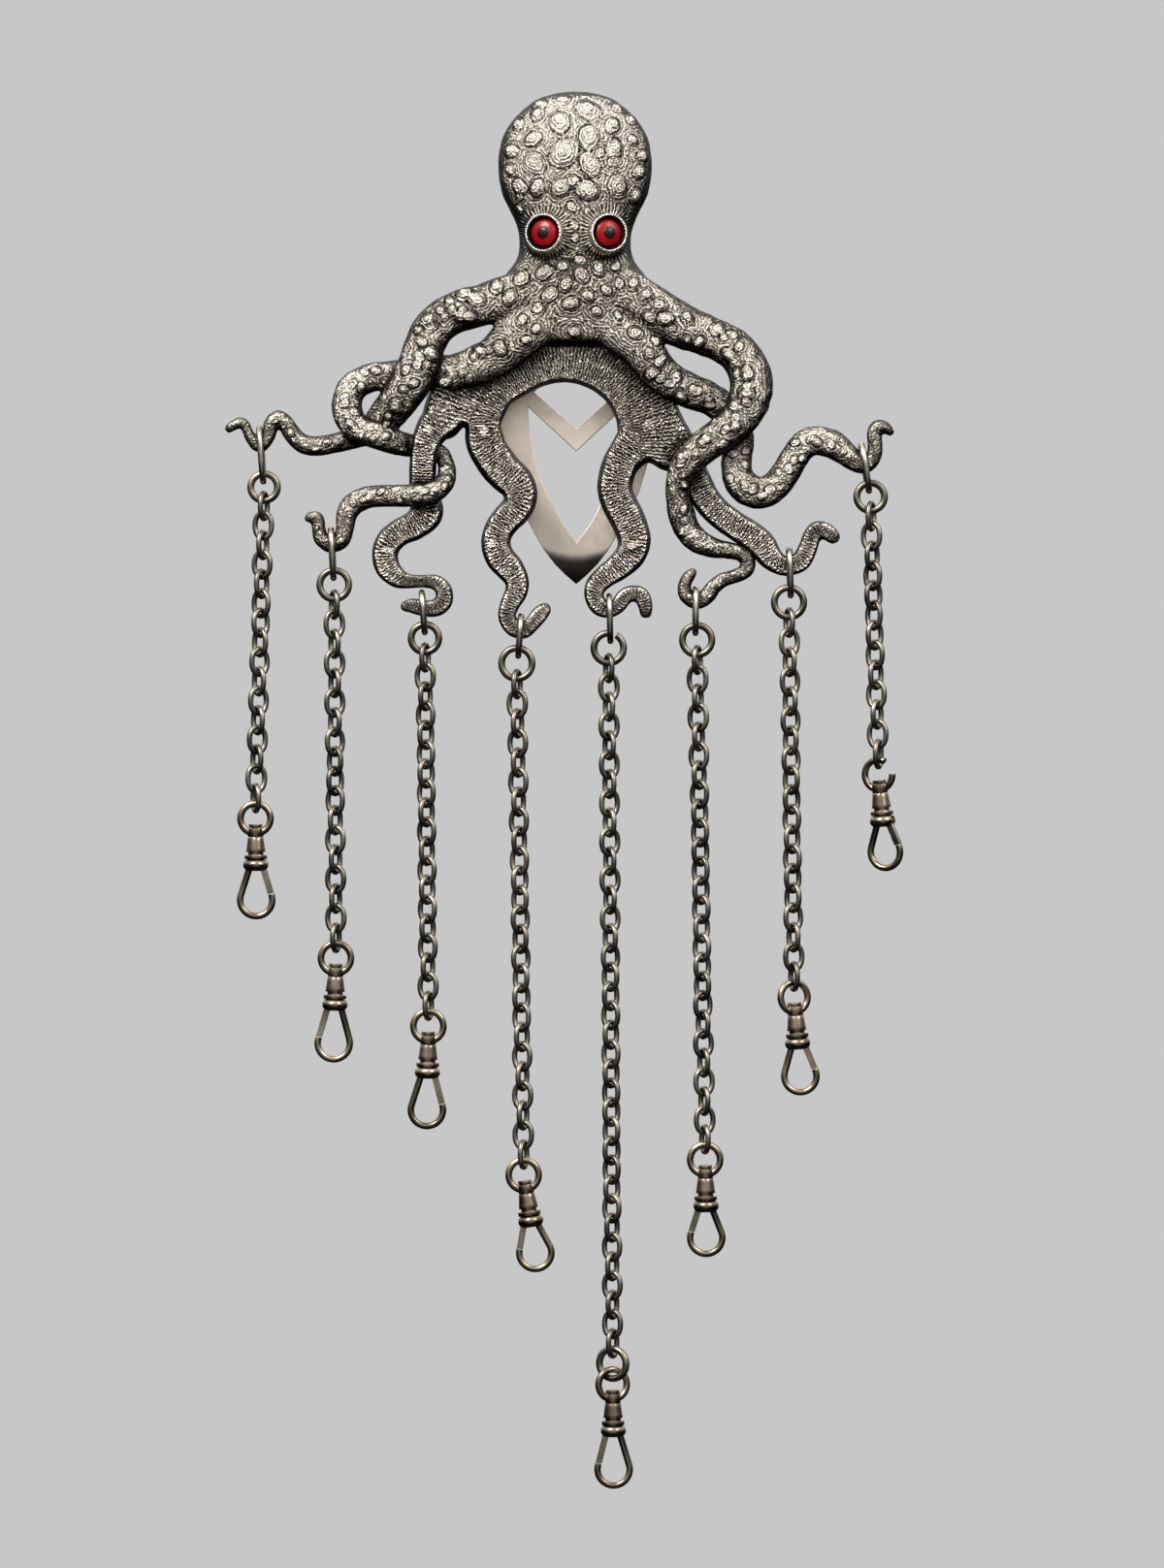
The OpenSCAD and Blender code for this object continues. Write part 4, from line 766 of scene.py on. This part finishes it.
def finish_skin(name, points, quads, names, finish):
    """Relief, rub with painted light and shade, and the attributes that the silver reads, then the piece."""
    lower = finish is LOWER_FINISH
    count = len(points)
    edges = edges_of(quads)
    points = eased(points, edges, finish["easing"])
    normals = normals_of(points, quads)
    front = np.clip(-normals[:, 1] * 1.6, 0, 1)
    along, across, half, arm_gap = nearest_on_arms(points, [ARMS[n] for n in names])
    # Near a side wall the share of wall among the neighbours rises from 0 to 1.
    wall = eased((np.abs(normals[:, 1]) < 0.4).astype(float), edges, 4)
    rim = np.exp(-((wall - finish["rim_at"]) / 0.1) ** 2) * front
    x, z = points[:, 0], points[:, 2]
    if lower:
        on_web = nearest_on_arms(points, [WEB_LINE])[3] < arm_gap
        along = np.where(on_web, WEB_TURN * np.arctan2(x - HOLE_X, z - HOLE_Z), along)
        across = np.where(on_web, WEB_SHARE * np.hypot(x - HOLE_X, z - HOLE_Z), across)
        half = np.where(on_web, WEB_HALF, half)
        bumps = [[bump_x, BUMP_Y, bump_z, BUMP_R, BUMP_H, BUMP_CUTS] for bump_x, bump_z in WEB_BUMPS]
        rise, ring, ringed = wart_relief(points, bumps)
        rise = np.maximum(rise, 0)
        bump = rise * front
        arm_part = np.zeros(count)
    else:
        places = np.array(WARTS)
        skin_y = surface_y(points, normals, places[:, 0], places[:, 1])
        warts = np.concatenate([np.insert(places, 1, skin_y, 1), arm_warts(names)])
        rise, ring, ringed = wart_relief(points, warts)
        arm_part = risen(np.abs(x), 12, 18)
    rise = (rise + finish["rim_rise"] * rim) * front
    # Hammered all over, finely and, above all on the arms, broadly; less on the back.
    hammered = 0.014 * lumps(edges, count, 3)
    hammered += (0.03 + 0.05 * arm_part) * lumps(edges, count, 12) * risen(half, 0, 2.6)
    rise += hammered * (0.4 + 0.6 * front)
    moved = points + normals * rise[:, None]
    after = normals_of(moved, quads)
    # The rub is high on what stands out and low in what lies deep, over small and over large distances.
    small = ((moved - eased(moved, edges, 3)) * after).sum(1)
    large = ((moved - eased(moved, edges, 30)) * after).sum(1)
    rub = finish["rub"] + 0.13 * np.clip(small / 0.05, -1.8, 1.5)
    rub += finish["broad"] * np.clip(large / 0.25, -1.8, 1.0)
    facing = np.clip(-after[:, 1], 0, 1)
    if lower:
        # Painted shadow under the upper arms and the mantle; dark on thin tips, bright on the web's left and
        # the rims.
        shade = risen(nearest_on_arms(points, [ARMS[n] for n in "abgh"])[3], 1.75, 1.0)
        shade = np.maximum(shade, risen(z, -6.2, -4.6) * (np.abs(x) < 9))
        rub += 0.05 * on_web * np.clip((HOLE_X - x) / 9, -1, 1) - 0.36 * shade
        rub += 0.5 * rim * np.maximum(risen(half, 0.6, 2.2), 0.3) - 0.25 * risen(half, 2.1, 1.2)
        # Painted shade on the side walls, which turn away from the front.
        rub *= 0.04 + 0.96 * risen(facing, 0.55, 0.85)
        cut_depth = (1 - 0.85 * risen(wall, 0.06, 0.18)) * (0.22 + 0.78 * risen(half, 1.2, 2.7))
        cut_depth *= 1 - 0.5 * risen(bump, 0, 0.25)
    else:
        # Painted light on the head and on what faces up, painted shade on the undersides and the right sides,
        # and dark on the thin tips.
        rub += 0.09 * risen(z, 14, 24) - 0.24 * risen(half, 2.3, 1.1)
        rub += 0.06 * risen(normals[:, 2], 0, 1) - 0.4 * risen(normals[:, 2], -0.05, -1.05)
        rub -= 0.245 * arm_part * risen(normals[:, 0], 0.15, 0.85)
        # Painted shade where the skin turns away from the front, most on the arms.
        rub *= 0.08 + 0.92 * risen(facing, 0.36, 0.61 + 0.28 * arm_part)
        cut_depth = (1 - 0.5 * risen(wall, 0, 0.5)) * (0.4 + 0.6 * risen(half, 1.0, 2.8))
        cut_depth *= 1 - 0.25 * arm_part
    # The back is evenly dull and almost smooth.
    behind = risen(after[:, 1], 0.6, 0.9)
    rub = rub * (1 - behind) + 0.36 * behind
    cut_depth *= 1 - 0.8 * behind
    mesh = new_mesh(name, moved, quads)
    store(mesh, {"rub": rub, "ring_mm": ring, "ringed": ringed, "cut_depth": cut_depth, "along_mm": along,
                 "across_mm": across, "lower": np.full(count, float(lower))})
    new_piece(name, mesh, "root", "octopus_silver", silver_skin, "octopus")


upper = [mantle_skin(), eye_hill(-1), eye_hill(1)] + [arm_skin(ARMS[n], round_section()) for n in "abgh"]
finish_skin("mantle_and_upper_arms", *fused("upper", upper), "abgh", UPPER_FINISH)
under = [web_skin()] + [arm_skin(ARMS[n], plateau_section()) for n in "cdef"]
finish_skin("web_and_lower_arms", *fused("under", under), "cdef", LOWER_FINISH)


# Eyes
def dome(radius, foot, base, rise, tip, sides):
    """A dome on a short cylinder that starts at its foot: (radius * sin b, base + rise * cos b) for b from a
    quarter turn to 0, with a small flat tip."""
    b = np.linspace(1, 0, 14) * np.pi / 2
    profile = np.stack([radius * np.sin(b), base + rise * np.cos(b)], 1)
    profile[-1, 0] = tip
    return revolved(np.concatenate([[[radius, foot]], profile]), sides)


def eye_pieces(side, word):
    """Each eye: a ring whose inside is notched all round, a low red dome and a black dome set in it."""
    turn, place = eye_turn(side), [side * EYE_X, EYE_Y, EYE_Z]
    points, quads, ends = revolved([[2.42, -1.2], [2.4, -0.1], [2.52, 0.0], [2.95, 0.5], [3.05, 0.66],
                                    [3.16, 0.7], [3.27, 0.62], [3.38, 0.3], [3.75, -0.8]], 120)
    radius = np.hypot(points[:, 0], points[:, 1])
    notched = (radius > 2.5) & (radius < 3.0)
    points[:, 2] += 0.14 * notched * np.sin(30 * np.arctan2(points[:, 1], points[:, 0]))
    mesh = new_mesh("eye_rim_" + word, *placed((points, quads, ends), turn, place))
    still = 0 * radius
    store(mesh, {"rub": np.where(radius < 3.0, 0.02, 0.75), "ring_mm": still, "ringed": still,
                 "cut_depth": 0.3 + still, "along_mm": still, "across_mm": still, "lower": still})
    new_piece("eye_rim_" + word, mesh, "root", "octopus_silver", silver_skin)
    glass = placed(dome(2.37, -0.8, -0.1, 0.85, 0.02, 64), turn, place)
    fixed_piece("eye_glass_" + word, glass, "red_glass", red_glass, "eye_" + word)
    pupil = placed(dome(1.05, 0.3, 0.67, 0.3, 0.01, 48), turn, place)
    fixed_piece("eye_pupil_" + word, pupil, "black_glass", black_glass, "pupil_" + word)


eye_pieces(-1, "left")
eye_pieces(1, "right")


# Belt hook
def broken_edges(node, name, body, slot, material, width, smooth=False):
    """A CAD solid's mesh with its points merged and its sharp edges broken by a small bevel."""
    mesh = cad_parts[node].data.copy()
    for key in ("custom_normal", "sharp_edge", "sharp_face"):
        if smooth and key in mesh.attributes:
            mesh.attributes.remove(mesh.attributes[key])
    piece = new_piece(name, mesh, body, slot, material, node)
    merge = piece.modifiers.new("merge", "WELD")
    merge.merge_threshold = 0.005 * MM
    bevel = piece.modifiers.new("edges", "BEVEL")
    bevel.width = width * MM
    bevel.segments = 2
    bevel.limit_method = "ANGLE"
    bevel.harden_normals = smooth


broken_edges("belt_hook", "belt_hook_sheet", "root", "hook_plate", plate_silver, 0.12, True)


# Hangers, rings and chains
def extra_ring_z():
    """Height of the second ring at the foot of the middle chain, which hangs in the clip's bow."""
    bow_top = HANG[MIDDLE_CHAIN][7] + BOW_D / 2 - BOW_WIRE / 2
    return bow_top - TWO_RING_PLAY - (BOW_WIRE + RING_WIRE) / 2 + (EXTRA_RING_D - RING_WIRE) / 2


def chain_numbers(k):
    """Top, pitch and length of the links of a chain, worked out from its ring and its bow as in the part."""
    ring_z, ring_d, bow_z, count = (HANG[k][column] for column in (4, 5, 7, 10))
    top = ring_z - ring_d / 2 + RING_WIRE + RING_PLAY + LINK_WIRE
    foot = bow_z + BOW_D / 2 - BOW_WIRE - RING_PLAY - LINK_WIRE
    if k == MIDDLE_CHAIN:
        foot = extra_ring_z() + EXTRA_RING_D / 2 - RING_WIRE - RING_PLAY - LINK_WIRE
    pitch = (top - foot - 2 * LINK_WIRE - LINK_PLAY) / count
    return top, pitch, pitch + 2 * LINK_WIRE + LINK_PLAY


def link_yaw(k, i):
    """Turn of a link about the chain: a quarter more than its neighbour's, with a drift down the chain and a
    swing between its ends."""
    yaw, drift, count = HANG[k][8:]
    swell = np.sin(np.radians(180 * i / (count - 1)))
    even = 25 * np.sign(yaw) if drift == 0 else 0
    uneven = 8 * np.sin(np.radians(i * 25 + (k + 1) * 70))
    return yaw + 90 * i + drift * i / (count - 1) + (uneven - even) * swell


for k, (top_x, top_z, foot_x, ring_x, ring_z, ring_d, bow_x, _, _, _, count) in enumerate(HANG):
    number = str(k + 1)
    top = np.array([top_x, top_z])
    foot = np.array([foot_x, ring_z + ring_d / 2 - RING_WIRE - HANGER_WIRE - HANGER_PLAY])
    middle = (top + foot) / 2
    swing = np.degrees(np.arctan2(*(top - foot)))
    path = oval_path(np.linalg.norm(top - foot), HANGER_W, HANGER_WIRE, 56, 2.5)
    loop = wire_on(path, HANGER_WIRE, 16)
    loop = placed(loop, turn_matrix("y", swing) @ turn_matrix("z", 90), [middle[0], HANG_Y, middle[1]])
    fixed_piece("hanger_loop_" + number, loop, "hanger_silver", hanger_silver, "hanger_" + number)
    if k == MIDDLE_CHAIN:
        ring = wire_on(ring_path(ring_d, RING_WIRE, 60, OPEN_SWEEP), RING_WIRE, 16, False)
    else:
        ring = wire_on(ring_path(ring_d, RING_WIRE, 60), RING_WIRE, 16)
    turn = OPEN_TURN if k == MIDDLE_CHAIN else 0
    ring = placed(ring, turn_matrix("y", turn), [ring_x, HANG_Y, ring_z])
    fixed_piece("jump_ring_" + number, ring, "ring_silver", ring_silver, "top_ring_" + number)
    first, pitch, long = chain_numbers(k)
    link = wire_on(oval_path(long, LINK_W, LINK_WIRE, 30, 2.15), LINK_WIRE, 9)
    chain = []
    for i in range(count):
        link_x = ring_x + (bow_x - ring_x) * (i + 0.5) / count
        place = [link_x, HANG_Y, first - i * pitch - long / 2]
        chain.append(placed(link, turn_matrix("z", link_yaw(k, i)), place))
    fixed_piece("chain_links_" + number, joined(chain), "chain_silver", chain_silver, "chain_" + number)

ring = wire_on(ring_path(EXTRA_RING_D, RING_WIRE, 60), RING_WIRE, 16)
ring = placed(ring, turn_matrix("z", -28), [HANG[MIDDLE_CHAIN][6], HANG_Y, extra_ring_z()])
fixed_piece("extra_jump_ring", ring, "ring_silver", ring_silver, "extra_ring_5")


# Clips
for n in "12345678":
    broken_edges("clip_bow_" + n, "clip_ring_" + n, "root", "clip_metal", clip_metal, 0.1)
    broken_edges("clip_body_" + n, "clip_hook_" + n, "clip_" + n, "clip_metal", clip_metal, 0.1)
    broken_edges("clip_gate_" + n, "clip_spring_" + n, "gate_" + n, "gate_metal", gate_metal, 0.1)


# Stage, light and camera, in metres
FLOOR_HALF, FLOOR_Z = 0.4, -0.32
VIEW_DISTANCE, VIEW_WIDTH, SENSOR_MM = 1.4, 0.27489, 36
VIEW_X, VIEW_Z = 0.00102, -0.08135

floor_paint, recipe, shader = new_material("floor_paint")
recipe.feed(shader, {"Base Color": (0.62, 0.62, 0.62, 1), "Roughness": 0.8})
floor_mesh = bpy.data.meshes.new("floor")
corners = [(a * FLOOR_HALF, b * FLOOR_HALF, FLOOR_Z) for a, b in ((-1, -1), (1, -1), (1, 1), (-1, 1))]
floor_mesh.from_pydata(corners, [], [(0, 1, 2, 3)])
floor_mesh.materials.append(floor_paint)
floor = new_object("floor", floor_mesh)
floor.visible_glossy = False


def area_light(name, place, aim, size, energy, colour):
    """A lamp with a rectangular face, turned towards what it aims at."""
    light = bpy.data.lights.new(name, "AREA")
    light.shape = "RECTANGLE"
    light.size, light.size_y = size
    light.energy = energy
    light.color = colour
    lamp = new_object(name, light)
    way = Vector(aim) - Vector(place)
    lamp.location = place
    lamp.rotation_euler = way.to_track_quat("-Z", "Y").to_euler()


area_light("top_left_box", (-0.4, -0.6, 0.55), (0, 0, -0.05), (0.4, 0.35), 12.0, (1.0, 0.975, 0.94))
area_light("top_right_box", (0.45, -0.45, 0.35), (0, 0, -0.08), (0.3, 0.4), 3.0, (1.0, 0.98, 0.95))

# The surroundings: bright above and behind the camera, dark below and at the sides. The camera itself sees an
# even pale grey.
world = bpy.data.worlds.new("studio")
bpy.context.scene.world = world
world.use_nodes = True
world.node_tree.nodes.clear()
recipe = Recipe(world.node_tree)
to_right, away, up = recipe.place("Generated")
above = recipe.ranged(up, -0.12, 0.62, 0.012, 1.55, "SMOOTHSTEP")
camera_side = recipe.ranged(away * -1.0, 0.68, 1.0, 0.0, 0.36, "SMOOTHSTEP")
sides = recipe.ranged(recipe.worked("ABSOLUTE", to_right), 0.75, 1.0, 1.0, 0.4, "SMOOTHSTEP")
strength = (above + camera_side) * sides
around = recipe.add("Background", {"Color": (1.0, 0.975, 0.94, 1), "Strength": strength})
behind = recipe.add("Background", {"Color": (0.571, 0.571, 0.571, 1), "Strength": 1.0})
seen = recipe.add("LightPath", {}, "Is Camera Ray")
surround = recipe.add("MixShader", {0: seen, 1: around, 2: behind})
recipe.feed(world.node_tree.nodes.new("ShaderNodeOutputWorld"), {"Surface": surround})

camera_data = bpy.data.cameras.new("camera")
camera_data.sensor_width = SENSOR_MM
camera_data.lens = SENSOR_MM * VIEW_DISTANCE / VIEW_WIDTH
camera_data.clip_end = 20
camera = new_object("camera", camera_data)
camera.location = (VIEW_X, HANG_Y * MM - VIEW_DISTANCE, VIEW_Z)
camera.rotation_euler = (np.pi / 2, 0, 0)
bpy.context.scene.camera = camera
bpy.context.scene.view_settings.view_transform = "Standard"
